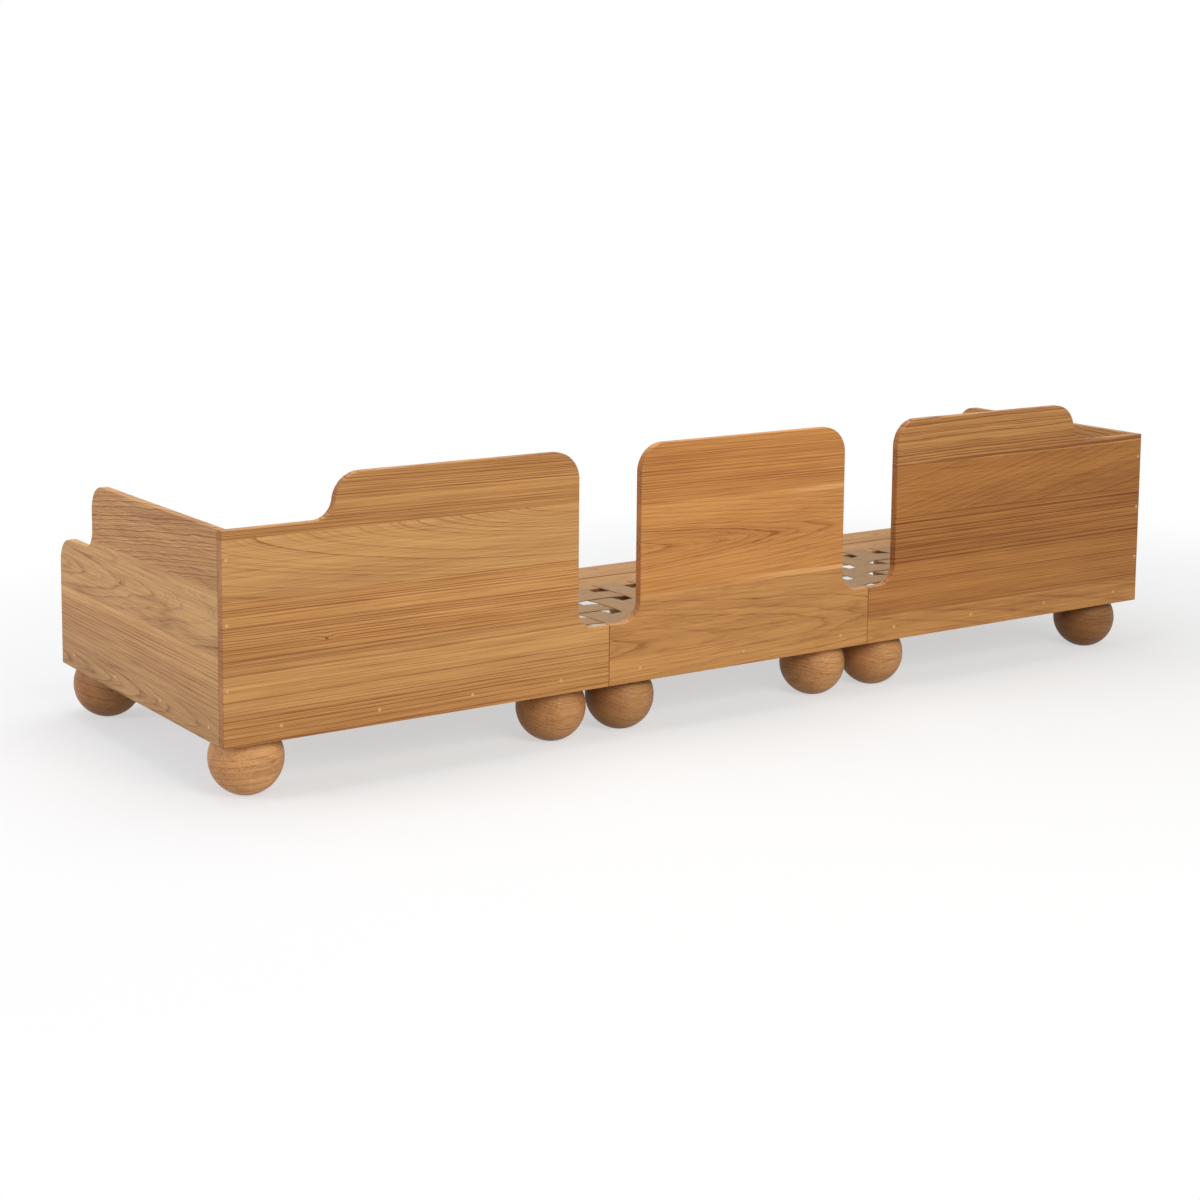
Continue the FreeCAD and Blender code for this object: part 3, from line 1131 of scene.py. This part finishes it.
@dataclass
class BackPanel(Panel):
    """A back: notched beside a neighbour, stepped down to the arm at an outer end."""

    low: float = 0.0
    high: float = 0.0
    arm: Side = Side.NONE
    notch_floor: float = 0.141
    notch_half_width: float = 0.084
    notch_radius: float = 0.046
    corner_radius: float = 0.065
    shelf_length: float = 0.212
    shelf_hollow: float = 0.046
    shelf_crown: float = 0.064

    def draw(self) -> Piece:
        """Draws the outline from the lower corner on the right, over the top, to the left.

        Returns:
            The back as a face, in editing.
        """
        bottom, top = PANEL_BOTTOM, PANEL_BOTTOM + BACK_HEIGHT
        shelf, rise = PANEL_BOTTOM + ARM_HEIGHT, BACK_HEIGHT - ARM_HEIGHT
        shape = Outline(self.name + "_oak", 0, BACK_INNER, (self.low, bottom))
        if self.arm is Side.RIGHT:
            shape.line((self.low, shelf), (self.low + self.shelf_length, shelf))
            shape.ogee(rise, self.shelf_hollow, self.shelf_crown)
        else:
            self.notch(shape, self.low, 1)
        if self.arm is Side.LEFT:
            both = self.shelf_hollow + self.shelf_crown
            reach = math.sqrt(both ** 2 - (both - rise) ** 2)
            shape.line((self.high - self.shelf_length - reach, top))
            shape.ogee(-rise, self.shelf_crown, self.shelf_hollow)
            shape.line((self.high, shelf))
        else:
            self.notch(shape, self.high, -1)
        shape.line((self.high, bottom), (self.low, bottom))
        return shape.fill()

    def notch(self, shape: Outline, edge: float, inward: int) -> None:
        """Draws the round-cornered notch, the wall above it and the back's upper corner.

        Args:
            shape: The outline.
            edge: The end of the back that has the notch.
            inward: The way into the back: 1 to draw from the notch up, -1 to draw down to it.
        """
        floor, top = PANEL_BOTTOM + self.notch_floor, PANEL_BOTTOM + BACK_HEIGHT
        bend, shoulder = floor + self.notch_radius, top - self.corner_radius
        wall = edge + inward * self.notch_half_width
        turn = wall - inward * self.notch_radius
        inner = wall + inward * self.corner_radius
        stops = [(edge, floor), (turn, floor), (wall, bend), (wall, shoulder), (inner, top)]
        centres = [None, (turn, bend), None, (inner, shoulder)]
        if inward < 0:
            stops.reverse()
            centres.reverse()
        shape.line(stops[0])
        for stop, centre in zip(stops[1:], centres):
            if centre:
                shape.arc(centre, stop)
            else:
                shape.line(stop)


@dataclass
class ArmPanel(Panel):
    """An arm: it steps down at the front, and its rear edge meets the back."""

    inner: float = 0.0
    step_drop: float = 0.150
    step_length: float = 0.195
    hollow_radius: float = 0.045
    crown_radius: float = 0.058
    front_radius: float = 0.058

    def draw(self) -> Piece:
        """Draws the outline from the lower front corner, over the top, to the rear.

        Returns:
            The arm as a face, in editing.
        """
        bottom, top = PANEL_BOTTOM, PANEL_BOTTOM + ARM_HEIGHT
        step, nose = top - self.step_drop, FRONT_FACE + self.front_radius
        shape = Outline(self.name + "_oak", 1, self.inner, (FRONT_FACE, bottom))
        shape.line((FRONT_FACE, step - self.front_radius))
        shape.arc((nose, step - self.front_radius), (nose, step))
        shape.line((FRONT_FACE + self.step_length - self.hollow_radius, step))
        shape.ogee(self.step_drop, self.hollow_radius, self.crown_radius)
        shape.line((BACK_INNER, top), (BACK_INNER, bottom), (FRONT_FACE, bottom))
        return shape.fill()


@dataclass
class FlatBoards:
    """The rails and the flat boards of a module's seat."""

    module: str
    body: str
    sides: tuple[str, str]
    finish: Material
    seed: float
    edge_round: float = 0.0015

    def log_of(self, index: int, wide: bool) -> Stave:
        """Says how a board was cut: rift-sawn rails, flatter wide boards.

        Args:
            index: The board's number in the module.
            wide: True for a wide board.

        Returns:
            The board's cut.
        """
        swing = math.sin(12.9 * index + 4.1 * self.seed)
        pith = (0.03 * swing, -0.07 - 0.02 * swing) if wide else (0.25 + 0.04 * swing, -0.12)
        return Stave(TO_THE_TOP, pith, lean=(0.04 * swing, 0.05), ring=0.0052,
                     tone=1.0 + 0.06 * swing, contrast=0.75, warmth=0.15 + 0.15 * swing,
                     seed=self.seed + 0.61 * index)

    def plank(self, node: str, run: Run, index: int) -> None:
        """Makes one board with eased edges where its solid is.

        Args:
            node: The solid's name.
            run: The way its grain runs.
            index: Its number in the module.
        """
        low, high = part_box(node)
        Bench.clear()
        bpy.ops.mesh.primitive_cube_add(size=1.0, location=(low + high) / 2, scale=high - low)
        piece = bpy.context.active_object
        Bench.label(piece, node + "_oak")
        Bench.apply_place(piece)
        bpy.ops.object.mode_set(mode="EDIT")
        bpy.ops.mesh.select_all(action="SELECT")
        Bench.ease(self.edge_round)
        Bench.smooth(piece, BOARD_SMOOTH)
        stave = self.log_of(index, "board" in node or "ledge" in node)
        dress(piece, run, [stave], 0.0, (low + high) / 2, self.finish)
        place_on(piece, self.body, node)

    def build(self) -> None:
        """Makes every rail and board of the module."""
        parts = [("rail_front", Run.ACROSS_THE_ROOM), ("rail_back", Run.ACROSS_THE_ROOM),
                 ("front_ledge", Run.FLAT_ACROSS), ("seat_board_front", Run.FLAT_ACROSS),
                 ("seat_board_back", Run.FLAT_ACROSS)]
        for side in self.sides:
            parts += [("rail_" + side, Run.FRONT_TO_BACK),
                      ("seat_board_" + side, Run.FLAT_FRONT_TO_BACK)]
        for index, (part, run) in enumerate(parts):
            self.plank(f"{self.module}_{part}", run, index)


@dataclass
class BallFeet:
    """The turned ball feet, all from one pattern, some made brighter with painted light and some
    darker with painted shade, in their tone and warmth.
    """

    finish: Material
    radius: float = 0.080
    sole_cut: float = 0.003
    top_cut: float = 0.017
    facets: int = 72
    sole_round: float = 0.0012
    smooth_angle: float = 25.0
    plain_look: Point2 = (0.97, 0.25)
    # Tone and warmth of single feet, partly their own wood and partly painted light and shade: the
    # left outer back foot is made brighter, the right outer back foot darker
    looks: dict[str, Point2] = field(default_factory=lambda: {
        "left_foot_back_outer": (1.36, 0.0), "left_foot_back_inner": (1.08, 0.22),
        "centre_foot_back_left": (0.86, 0.25), "centre_foot_back_right": (1.16, 0.12),
        "right_foot_back_inner": (1.08, 0.22), "right_foot_back_outer": (0.56, 0.62),
        "left_foot_front_outer": (0.92, 0.32)})

    def pattern(self) -> Piece:
        """Turns one ball on the lathe, standing on the floor at the origin.

        Returns:
            The ball.
        """
        centre = self.radius - self.sole_cut
        height = 2 * self.radius - self.sole_cut - self.top_cut
        sole = math.sqrt(self.radius ** 2 - centre ** 2)
        seat = math.sqrt(self.radius ** 2 - (height - centre) ** 2)
        shape = Outline("ball_pattern", 0, 0.0, (0.0, 0.0))
        shape.line((sole, 0.0))
        shape.arc((0.0, centre), (self.radius, centre))
        shape.arc((0.0, centre), (seat, height))
        shape.line((0.0, height))
        bpy.ops.mesh.select_all(action="SELECT")
        bpy.ops.mesh.spin(steps=self.facets, angle=2 * math.pi, center=(0, 0, 0), axis=(0, 0, 1))
        bpy.ops.mesh.select_all(action="SELECT")
        bpy.ops.mesh.remove_doubles(threshold=SAME_PLACE)
        bpy.ops.mesh.normals_make_consistent(inside=False)
        rim = sole - 10 * SAME_PLACE
        Bench.choose_edges(shape.piece, lambda a, b: max(a.z, b.z) < SAME_PLACE
                           and min(a.length, b.length) > rim)
        Bench.ease(self.sole_round)
        Bench.smooth(shape.piece, self.smooth_angle)
        return shape.piece

    def log_of(self, node: str, index: int) -> Stave:
        """Says how a ball was cut, each from its own place in a log.

        Args:
            node: The foot's name.
            index: The foot's number.

        Returns:
            The ball's cut.
        """
        swing = math.sin(5.1 * index)
        pith = (-0.270 + 0.050 * swing, -0.060 * math.cos(3.7 * index))
        tone, warmth = self.looks.get(node, self.plain_look)
        return Stave(TO_THE_TOP, pith, lean=(0.10 * swing, 0.06), ring=0.0090, tone=tone,
                     contrast=0.40, warmth=warmth, seed=3.0 + 1.7 * index, wander=0.009,
                     blotch=0.45, ripple=0.0025)

    def build(self, feet: Sequence[tuple[str, str]]) -> None:
        """Sets a ball under every corner.

        Args:
            feet: Pairs of a foot's node and its body.
        """
        pattern = self.pattern()
        for index, (node, body) in enumerate(feet):
            low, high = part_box(node)
            middle = (low + high) / 2
            Bench.pick(pattern)
            bpy.ops.object.duplicate(linked=False)
            ball = bpy.context.active_object
            Bench.label(ball, node + "_ball")
            bpy.ops.transform.translate(value=(middle.x, middle.y, 0.0))
            Bench.apply_place(ball)
            dress(ball, Run.ACROSS_THE_ROOM, [self.log_of(node, index)], 0.0, middle,
                  self.finish)
            place_on(ball, body, node)
        Bench.remove(pattern)


# ---------------------------------------------------------------- strap seats


def eased(share: float) -> float:
    """Lets a share from 0 to 1 start and end gently."""
    share = min(1.0, max(0.0, share))
    return share * share * (3.0 - 2.0 * share)


@dataclass
class StrapSeat:
    """The woven straps of one module's seat."""

    module: str
    body: str
    low: float
    high: float
    count: int
    sides: tuple[str, str]
    finish: Material
    rows: int = 4
    width: float = 0.070
    thickness: float = 0.0016
    clearance: float = 0.0002
    opening: Point2 = (-0.171, 0.315)
    lap: float = 0.035
    side_board: float = 0.035
    end_margin: float = 0.005
    run_out: float = 0.030
    step: float = 0.008
    strips: int = 4
    edge_round: float = 0.0005
    edge_steps: int = 2
    edge_angle: float = 60.0
    smooth_angle: float = 40.0
    thread_shift: float = 0.37
    first_cross_seed: float = 21.0

    def centres(self, low: float, high: float, count: int) -> list[float]:
        """Centre lines of straps with equal gaps between them and to both sides."""
        gap = (high - low - count * self.width) / (count + 1)
        return [low + gap + self.width / 2 + (gap + self.width) * index for index in range(count)]

    def swing(self, along: float, crossings: Sequence[float], first_over: bool) -> float:
        """Says how far a strap is over or under the others.

        Args:
            along: A place along the strap.
            crossings: Centre lines of the straps that it meets.
            first_over: True if it passes over the first one.

        Returns:
            1 for over, -1 for under, or a value between them.
        """
        half = self.width / 2
        sign = 1.0 if first_over else -1.0
        last, level = crossings[0] - half - self.run_out, 0.0
        for centre in crossings:
            if along < centre - half:
                share = eased((along - last) / (centre - half - last))
                return level + (sign - level) * share
            if along <= centre + half:
                return sign
            last, level, sign = centre + half, sign, -sign
        return level * (1.0 - eased((along - last) / self.run_out))

    def strap(self, name: str, run: StrapRun, middle: float, ends: Point2,
              crossings: Sequence[float], first_over: bool, seed: float) -> Piece:
        """Weaves one strap over and under the others.

        Args:
            name: The strap's name.
            run: The way it runs.
            middle: Its centre line.
            ends: Where it starts and stops.
            crossings: Centre lines of the straps that it meets.
            first_over: True if it passes over the first one.
            seed: Number that sets its thread apart from the others'.

        Returns:
            The strap.
        """
        length = ends[1] - ends[0]
        Bench.clear()
        bpy.ops.mesh.primitive_grid_add(
            x_subdivisions=round(length / self.step), y_subdivisions=self.strips, size=1.0,
            location=(0, 0, 0))
        piece = bpy.context.active_object
        Bench.label(piece, name)
        piece.scale = (length, self.width, 1.0)
        piece.location = ((ends[0] + ends[1]) / 2, 0.0, 0.0)
        Bench.apply_place(piece)
        weights = piece.vertex_groups.new(name="swing")
        for vertex in piece.data.vertices:
            level = self.swing(vertex.co.x, crossings, first_over)
            weights.add([vertex.index], 0.5 + 0.5 * level, "REPLACE")
        reach = self.thickness + self.clearance
        Bench.modifier(piece, "DISPLACE", direction="Z", strength=reach, mid_level=0.0,
                       vertex_group="swing")
        Bench.modifier(piece, "SOLIDIFY", thickness=self.thickness, offset=0.0)
        Bench.modifier(piece, "BEVEL", width=self.edge_round, segments=self.edge_steps,
                       limit_method="ANGLE", angle_limit=math.radians(self.edge_angle))
        piece.vertex_groups.clear()
        at = piece.data.attributes.new("strap_at", "FLOAT_VECTOR", "POINT")
        for vertex, item in zip(piece.data.vertices, at.data):
            item.vector = (vertex.co.x + self.thread_shift * seed, vertex.co.y, seed)
        level = DECK_TOP + self.thickness / 2 - reach / 2
        if run is StrapRun.LENGTHWISE:
            piece.rotation_euler = (0.0, 0.0, math.pi / 2)
            piece.location = (middle, 0.0, level)
        else:
            piece.location = (0.0, middle, level)
        Bench.apply_place(piece)
        Bench.smooth(piece, self.smooth_angle)
        Bench.paint(piece, self.finish)
        return piece

    def join(self, straps: Sequence[Piece], node: str, span: float, length: float,
             boards: Sequence[str]) -> None:
        """Joins the straps of one way into one piece and puts it in place of its solids.

        Args:
            straps: The straps.
            node: The name of their solids.
            span: How far it is over all of them; not used.
            length: The length of each; not used.
            boards: The seat boards that they are stretched over; not used.
        """
        whole = Bench.join(straps)
        Bench.label(whole, node + "_straps")
        place_on(whole, self.body, node)

    def build(self) -> None:
        """Weaves the whole seat."""
        open_low, open_high = self.low + self.side_board, self.high - self.side_board
        side_lap = self.side_board - self.end_margin
        columns = self.centres(open_low, open_high, self.count)
        rows = self.centres(*self.opening, self.rows)
        front, back = self.opening[0] - self.lap, self.opening[1] + self.lap
        right, left = open_low - side_lap, open_high + side_lap
        lengthwise = [
            self.strap(f"{self.module}_strap_{index}", StrapRun.LENGTHWISE, x, (front, back), rows,
                       index % 2 == 0, index + 1.0)
            for index, x in enumerate(columns)]
        crosswise = [
            self.strap(f"{self.module}_cross_strap_{index}", StrapRun.CROSSWISE, y, (right, left),
                       columns, index % 2 == 1, index + self.first_cross_seed)
            for index, y in enumerate(rows)]
        self.join(lengthwise, f"{self.module}_webbing_lengthwise",
                  columns[-1] - columns[0] + self.width, back - front, ("front", "back"))
        self.join(crosswise, f"{self.module}_webbing_crosswise",
                  rows[-1] - rows[0] + self.width, left - right, self.sides)


# ------------------------------------------------------------------- modules

# Each row: top, pith, lean, ring, tone, contrast, warmth, seed, wander, and what is special
LEFT_BACK_STRIPES = Stave(
    0.303, (-0.380, 0.040), (0.006, 0.0), 0.0062, 1.08, 1.00, 0.28, 3.7, 0.0012,
    knot=(0.239, -0.071, 1.0), rarity=0.8)
LEFT_BACK = (
    Stave(0.061, (-0.330, -0.060), (-0.008, 0.0), 0.0075, 1.05, 0.95, 0.33, 1.3, 0.0030,
          rarity=1.3),
    Stave(0.183, (-0.420, -0.060), (-0.006, 0.0), 0.0068, 1.07, 1.00, 0.20, 2.1, 0.0020,
          rarity=1.6),
    replace(LEFT_BACK_STRIPES, top=0.206, tone=1.00, warmth=0.42),
    LEFT_BACK_STRIPES,
    Stave(0.430, (0.160, -0.048), (0.0, -0.14), 0.0080, 1.03, 0.62, 0.12, 4.4, 0.005, point=1.6),
    Stave(TO_THE_TOP, (-0.210, -0.050), (0.012, 0.0), 0.0066, 0.95, 1.15, 0.36, 5.2, 0.0025,
          rarity=1.0),
)
CENTRE_ARCHES = Stave(
    0.396, (0.034, -0.038), (0.0, 0.075), 0.0092, 1.04, 0.62, 0.66, 7.9, 0.006, point=1.45,
    blotch=0.18, ripple=0.0035)
CENTRE_BACK = (
    Stave(0.199, (-0.195, -0.055), (0.02, 0.080), 0.0140, 0.97, 0.34, 0.42, 6.1, 0.014, point=1.6,
          blotch=0.40, ripple=0.006),
    replace(CENTRE_ARCHES, top=0.210, sap=(0.60, 0.10, -0.16)),
    CENTRE_ARCHES,
    replace(CENTRE_ARCHES, top=0.408, sap=(0.55, -0.02, -0.26)),
    Stave(TO_THE_TOP, (-0.220, -0.040), (0.008, 0.0), 0.0062, 1.05, 0.85, 0.70, 8.6, 0.0025,
          rarity=1.5),
)
# The right back's low tones are partly its own wood and partly painted shade, for the light that
# falls off to the right
RIGHT_BACK = (
    Stave(0.063, (-0.300, -0.090), (0.06, 0.05), 0.0110, 0.93, 0.35, 0.55, 11.2, 0.007,
          blotch=0.45),
    Stave(0.185, (-0.420, -0.050), (0.006, 0.0), 0.0078, 0.80, 0.85, 0.85, 12.5, 0.0025,
          rarity=1.0, blotch=0.15),
    Stave(0.308, (-0.380, 0.050), (-0.005, 0.0), 0.0088, 0.76, 1.45, 0.95, 13.3, 0.0015,
          rarity=0.7),
    Stave(0.432, (0.290, -0.075), (-0.16, 0.11), 0.0150, 0.72, 0.45, 0.95, 14.8, 0.009,
          blotch=0.35, ripple=0.0025),
    Stave(TO_THE_TOP, (-0.190, -0.040), (-0.015, 0.0), 0.0085, 0.95, 1.60, 0.42, 15.6, 0.007,
          rarity=1.0, ripple=0.0030),
)
LEFT_ARM_STRIPES = Stave(
    0.187, (-0.200, -0.040), (0.012, -0.045), 0.0058, 1.13, 1.00, 0.0, 19.3, 0.003, rarity=0.8,
    blotch=0.20, ripple=0.0015)
# The same board gets darker and cloudier to its lower edge: top, tone, contrast and blotch
LEFT_ARM_BANDS = (
    (0.022, 0.855, 0.60, 0.55), (0.046, 0.875, 0.60, 0.55), (0.070, 0.890, 0.65, 0.50),
    (0.092, 0.925, 0.75, 0.40), (0.120, 0.975, 0.90, 0.20), (0.144, 1.025, 1.00, 0.20),
    (0.166, 1.065, 1.00, 0.20))
LEFT_ARM = (
    *(replace(LEFT_ARM_STRIPES, top=top, tone=tone, contrast=contrast, blotch=blotch)
      for top, tone, contrast, blotch in LEFT_ARM_BANDS),
    LEFT_ARM_STRIPES,
    Stave(0.322, (0.030, -0.050), (0.03, -0.095), 0.0130, 0.96, 0.68, 0.03, 17.7, 0.013, point=1.5,
          blotch=0.60, ripple=0.006),
    Stave(TO_THE_TOP, (0.350, -0.060), (0.13, 0.0), 0.0078, 0.97, 1.35, 0.15, 18.9, 0.007,
          rarity=1.3, blotch=0.35, ripple=0.0045),
)
RIGHT_ARM = (
    Stave(0.187, (-0.330, 0.070), (0.02, 0.0), 0.0066, 0.90, 0.80, 0.20, 21.4, 0.003, rarity=0.9,
          blotch=0.25),
    Stave(0.322, (0.420, 0.055), (-0.03, 0.0), 0.0150, 0.89, 0.30, 0.25, 22.7, 0.008, blotch=0.70,
          ripple=0.003),
    Stave(TO_THE_TOP, (0.350, 0.050), (-0.06, 0.0), 0.0072, 0.88, 1.00, 0.20, 23.9, 0.006,
          ripple=0.0030),
)


@dataclass
class Module:
    """One module: its panels, boards and strap seat."""

    name: str
    low: float
    high: float
    arm: Side
    sides: tuple[str, str]
    back_staves: Sequence[Stave]
    arm_staves: Sequence[Stave]
    straps: int
    row_count: int
    row_margin: float
    seed: float
    column_foot: float = 0.120
    column_top: float = 0.060
    column_count: int = 3
    arm_row_margin: float = 0.071
    arm_row_count: int = 4

    @property
    def body(self) -> str:
        """The body that the module rides on."""
        return self.name + "_module"

    @property
    def outer(self) -> float:
        """The end that has the arm."""
        return self.high if self.arm is Side.LEFT else self.low

    @staticmethod
    def spread(low: float, high: float, count: int) -> list[float]:
        """Evenly spaced places from low to high."""
        return [low + (high - low) * index / (count - 1) for index in range(count)]

    def back_holes(self) -> list[Point3]:
        """Finds where the dowels of the back show.

        Returns:
            The holes' middles.
        """
        row = self.spread(self.low + self.row_margin, self.high - self.row_margin, self.row_count)
        holes = [(x, BACK_FACE, DOWEL_ROW) for x in row]
        if self.arm is not Side.NONE:
            middle = self.outer - self.arm.value * PANEL_THICKNESS / 2
            foot = PANEL_BOTTOM + self.column_foot
            top = PANEL_BOTTOM + ARM_HEIGHT - self.column_top
            holes += [(middle, BACK_FACE, z) for z in self.spread(foot, top, self.column_count)]
        return holes

    def arm_holes(self) -> list[Point3]:
        """Where the dowels of the arm show."""
        front, back = FRONT_FACE + self.arm_row_margin, BACK_FACE - self.arm_row_margin
        return [(self.outer, y, DOWEL_ROW) for y in self.spread(front, back, self.arm_row_count)]

    def build(self, finishes: Finishes) -> None:
        """Makes every piece of the module.

        Args:
            finishes: The materials.
        """
        BackPanel(f"{self.name}_back_panel", self.body, self.back_staves, self.back_holes(),
                  finishes.panel, low=self.low, high=self.high, arm=self.arm).build()
        frame_low, frame_high = self.low, self.high
        if self.arm is not Side.NONE:
            inner = self.outer - self.arm.value * PANEL_THICKNESS
            frame_low = inner if self.arm is Side.RIGHT else self.low
            frame_high = inner if self.arm is Side.LEFT else self.high
            ArmPanel(f"{self.name}_arm_panel", self.body, self.arm_staves, self.arm_holes(),
                     finishes.panel, run=Run.FRONT_TO_BACK,
                     outward=Vector((float(self.arm.value), 0.0, 0.0)), inner=inner).build()
        FlatBoards(self.name, self.body, self.sides, finishes.board, self.seed).build()
        StrapSeat(self.name, self.body, frame_low, frame_high, self.straps, self.sides,
                  finishes.webbing).build()
        self.dress_solids(finishes)

    def dress_solids(self, finishes: Finishes) -> None:
        """Gives the solids that stay their finishes.

        Args:
            finishes: The materials.
        """
        for part, finish in (("dowels", finishes.dowel), ("corner_blocks", finishes.block),
                             ("foot_bolts", finishes.steel)):
            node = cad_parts[f"{self.name}_{part}"]
            Bench.paint(node, finish)
            log.info("%s dressed", node.name)

    def feet(self) -> list[tuple[str, str]]:
        """The module's feet, each with its body."""
        return [(f"{self.name}_foot_{end}_{side}", self.body)
                for end in ("back", "front") for side in self.sides]


# -------------------------------------------------------------------- studio


@dataclass(frozen=True)
class Lamp:
    """A soft box that looks at a point."""

    name: str
    place: Point3
    target: Point3
    size: Point2
    power: float
    colour: Colour

    def build(self) -> None:
        """Hangs the lamp."""
        data = bpy.data.lights.new(self.name, "AREA")
        data.shape = "RECTANGLE"
        data.size, data.size_y = self.size
        data.energy = self.power
        data.color = self.colour
        lamp = bpy.data.objects.new(self.name, data)
        bpy.context.scene.collection.objects.link(lamp)
        lamp.location = self.place
        look = Vector(self.target) - Vector(self.place)
        lamp.rotation_euler = look.to_track_quat("-Z", "Y").to_euler()


@dataclass
class Studio:
    """The pale floor, the soft light and the camera."""

    sky: Colour = (0.93, 0.97, 1.0)
    ambient: float = 0.42
    floor_size: float = 60.0
    floor_light: Colour = (0.58, 0.57, 0.56)
    floor_near: Colour = (0.82, 0.82, 0.82)
    # Painted shade: the darker colour that the floor takes before the front of the sofa
    painted_floor_shade: Colour = (0.60, 0.575, 0.55)
    shadow: float = 0.45
    shadow_shape: Point3 = (0.7, 1.0, 1.0)
    shadow_limits: Point2 = (2.3, 1.0)
    # Where the painted shade lies on the floor, as the limits of its fades, in metres
    shade_behind: Point2 = (0.10, -0.45)
    shade_before: Point2 = (-1.30, -0.50)
    shade_beside: Point2 = (1.80, 0.60)
    shade_middle: float = -0.20
    lamps: Sequence[Lamp] = (
        Lamp("key", (0.6, 4.7, 2.8), (0.0, 0.4, 0.30), (2.6, 1.8), 125.0, (1.0, 0.92, 0.82)),
        Lamp("overhead", (0.4, -0.2, 3.4), (0.3, 0.0, 0.0), (4.0, 2.4), 75.0, (0.97, 0.98, 1.0)),
        Lamp("side", (4.6, -0.6, 1.7), (1.0, 0.0, 0.4), (1.8, 1.6), 56.0, (0.92, 0.89, 1.0)))
    camera_place: Point3 = (3.2523, 4.5614, 1.4232)
    yaw: float = 0.6027
    pitch: float = 0.1276
    roll: float = 0.0089
    sensor: float = 36.0
    lens: float = 68.142
    shift: Point2 = (0.00299, -0.1667)
    far: float = 200.0

    def floor(self) -> None:
        """Lays a floor that looks white to the camera, keeps the shadow, and has painted shade
        before the sofa.
        """
        Bench.clear()
        bpy.ops.mesh.primitive_plane_add(size=self.floor_size, location=(0, 0, 0))
        piece = bpy.context.active_object
        piece.name = "floor"
        made = bpy.data.materials.new("pale_floor")
        nodes = bare_bench(made)
        at = nodes.place()
        apart = nodes.vector("LENGTH", nodes.vector("MULTIPLY", at, self.shadow_shape))
        near = nodes.math("MULTIPLY", nodes.step(apart, *self.shadow_limits), self.shadow)
        shade = self.painted_front_shade(nodes, at)
        # Where the painted shade lies, the floor's real shadow shows at full strength
        near = nodes.math("MAXIMUM", near, shade)
        bright = nodes.work("ShaderNodeEmission", ())
        # Painted shade: there the floor's own colour also darkens towards the shade colour
        lit = nodes.work("ShaderNodeBsdfDiffuse",
                         [nodes.mix(shade, self.floor_near, self.painted_floor_shade)])
        dull = nodes.work("ShaderNodeBsdfDiffuse", [(*self.floor_light, 1.0)])
        both = nodes.mix_shaders(nodes.seen(), dull, nodes.mix_shaders(near, bright, lit))
        nodes.put(nodes.add("ShaderNodeOutputMaterial").inputs["Surface"], both)
        piece.data.materials.append(made)

    def painted_front_shade(self, nodes: NodeBench, at: Socket) -> Socket:
        """Masks the painted shade under the front of the sofa and on the floor before it.

        Args:
            nodes: The floor's bench.
            at: The place on the floor.

        Returns:
            How deep the shade is, from 0 to 1.
        """
        x, y, _ = nodes.split(at)
        deep = nodes.math("MULTIPLY", nodes.step(y, *self.shade_behind),
                          nodes.step(y, *self.shade_before))
        aside = nodes.math("ABSOLUTE", nodes.math("SUBTRACT", x, self.shade_middle))
        return nodes.math("MULTIPLY", deep, nodes.step(aside, *self.shade_beside))

    def world(self) -> None:
        """Makes the room white to the camera and softly bright to the sofa."""
        world = bpy.data.worlds.new("studio")
        bpy.context.scene.world = world
        nodes = bare_bench(world)
        white = nodes.work("ShaderNodeBackground", [(1.0, 1.0, 1.0, 1.0)])
        soft = nodes.work("ShaderNodeBackground", [(*self.sky, 1.0), self.ambient])
        both = nodes.mix_shaders(nodes.seen(), soft, white)
        nodes.put(nodes.add("ShaderNodeOutputWorld").inputs["Surface"], both)

    def camera(self) -> None:
        """Sets the camera where the picture was taken from."""
        look = Vector((-math.sin(self.yaw) * math.cos(self.pitch),
                       -math.cos(self.yaw) * math.cos(self.pitch), -math.sin(self.pitch)))
        level = Vector((-math.cos(self.yaw), math.sin(self.yaw), 0.0))
        upright = level.cross(look)
        right = math.cos(self.roll) * level + math.sin(self.roll) * upright
        up = math.cos(self.roll) * upright - math.sin(self.roll) * level
        data = bpy.data.cameras.new("camera")
        data.sensor_width = self.sensor
        data.lens = self.lens
        data.shift_x, data.shift_y = self.shift
        data.clip_end = self.far
        camera = bpy.data.objects.new("camera", data)
        bpy.context.scene.collection.objects.link(camera)
        turn = Matrix((right, up, -look)).transposed().to_4x4()
        camera.matrix_world = Matrix.Translation(self.camera_place) @ turn
        bpy.context.scene.camera = camera

    def build(self) -> None:
        """Sets up the whole studio."""
        bpy.context.scene.view_settings.view_transform = "Standard"
        self.world()
        for lamp in self.lamps:
            lamp.build()
        self.floor()
        self.camera()


def main() -> None:
    """Builds the sofa and its studio."""
    logging.basicConfig(level=logging.INFO, format="%(name)s: %(message)s")
    Studio().build()
    finishes = Finishes.make()
    modules = [
        Module("left", 0.3853, 1.335, Side.LEFT, ("inner", "outer"), LEFT_BACK, LEFT_ARM,
               straps=8, row_count=4, row_margin=0.130, seed=31.0),
        Module("centre", -0.3847, 0.3847, Side.NONE, ("right", "left"), CENTRE_BACK, (),
               straps=6, row_count=3, row_margin=0.086, seed=47.0),
        Module("right", -1.335, -0.3853, Side.RIGHT, ("outer", "inner"), RIGHT_BACK, RIGHT_ARM,
               straps=8, row_count=4, row_margin=0.086, seed=59.0),
    ]
    for module in modules:
        module.build(finishes)
    BallFeet(finishes.ball).build([foot for module in modules for foot in module.feet()])
    Bench.clear()


if __name__ == "__main__":
    main()
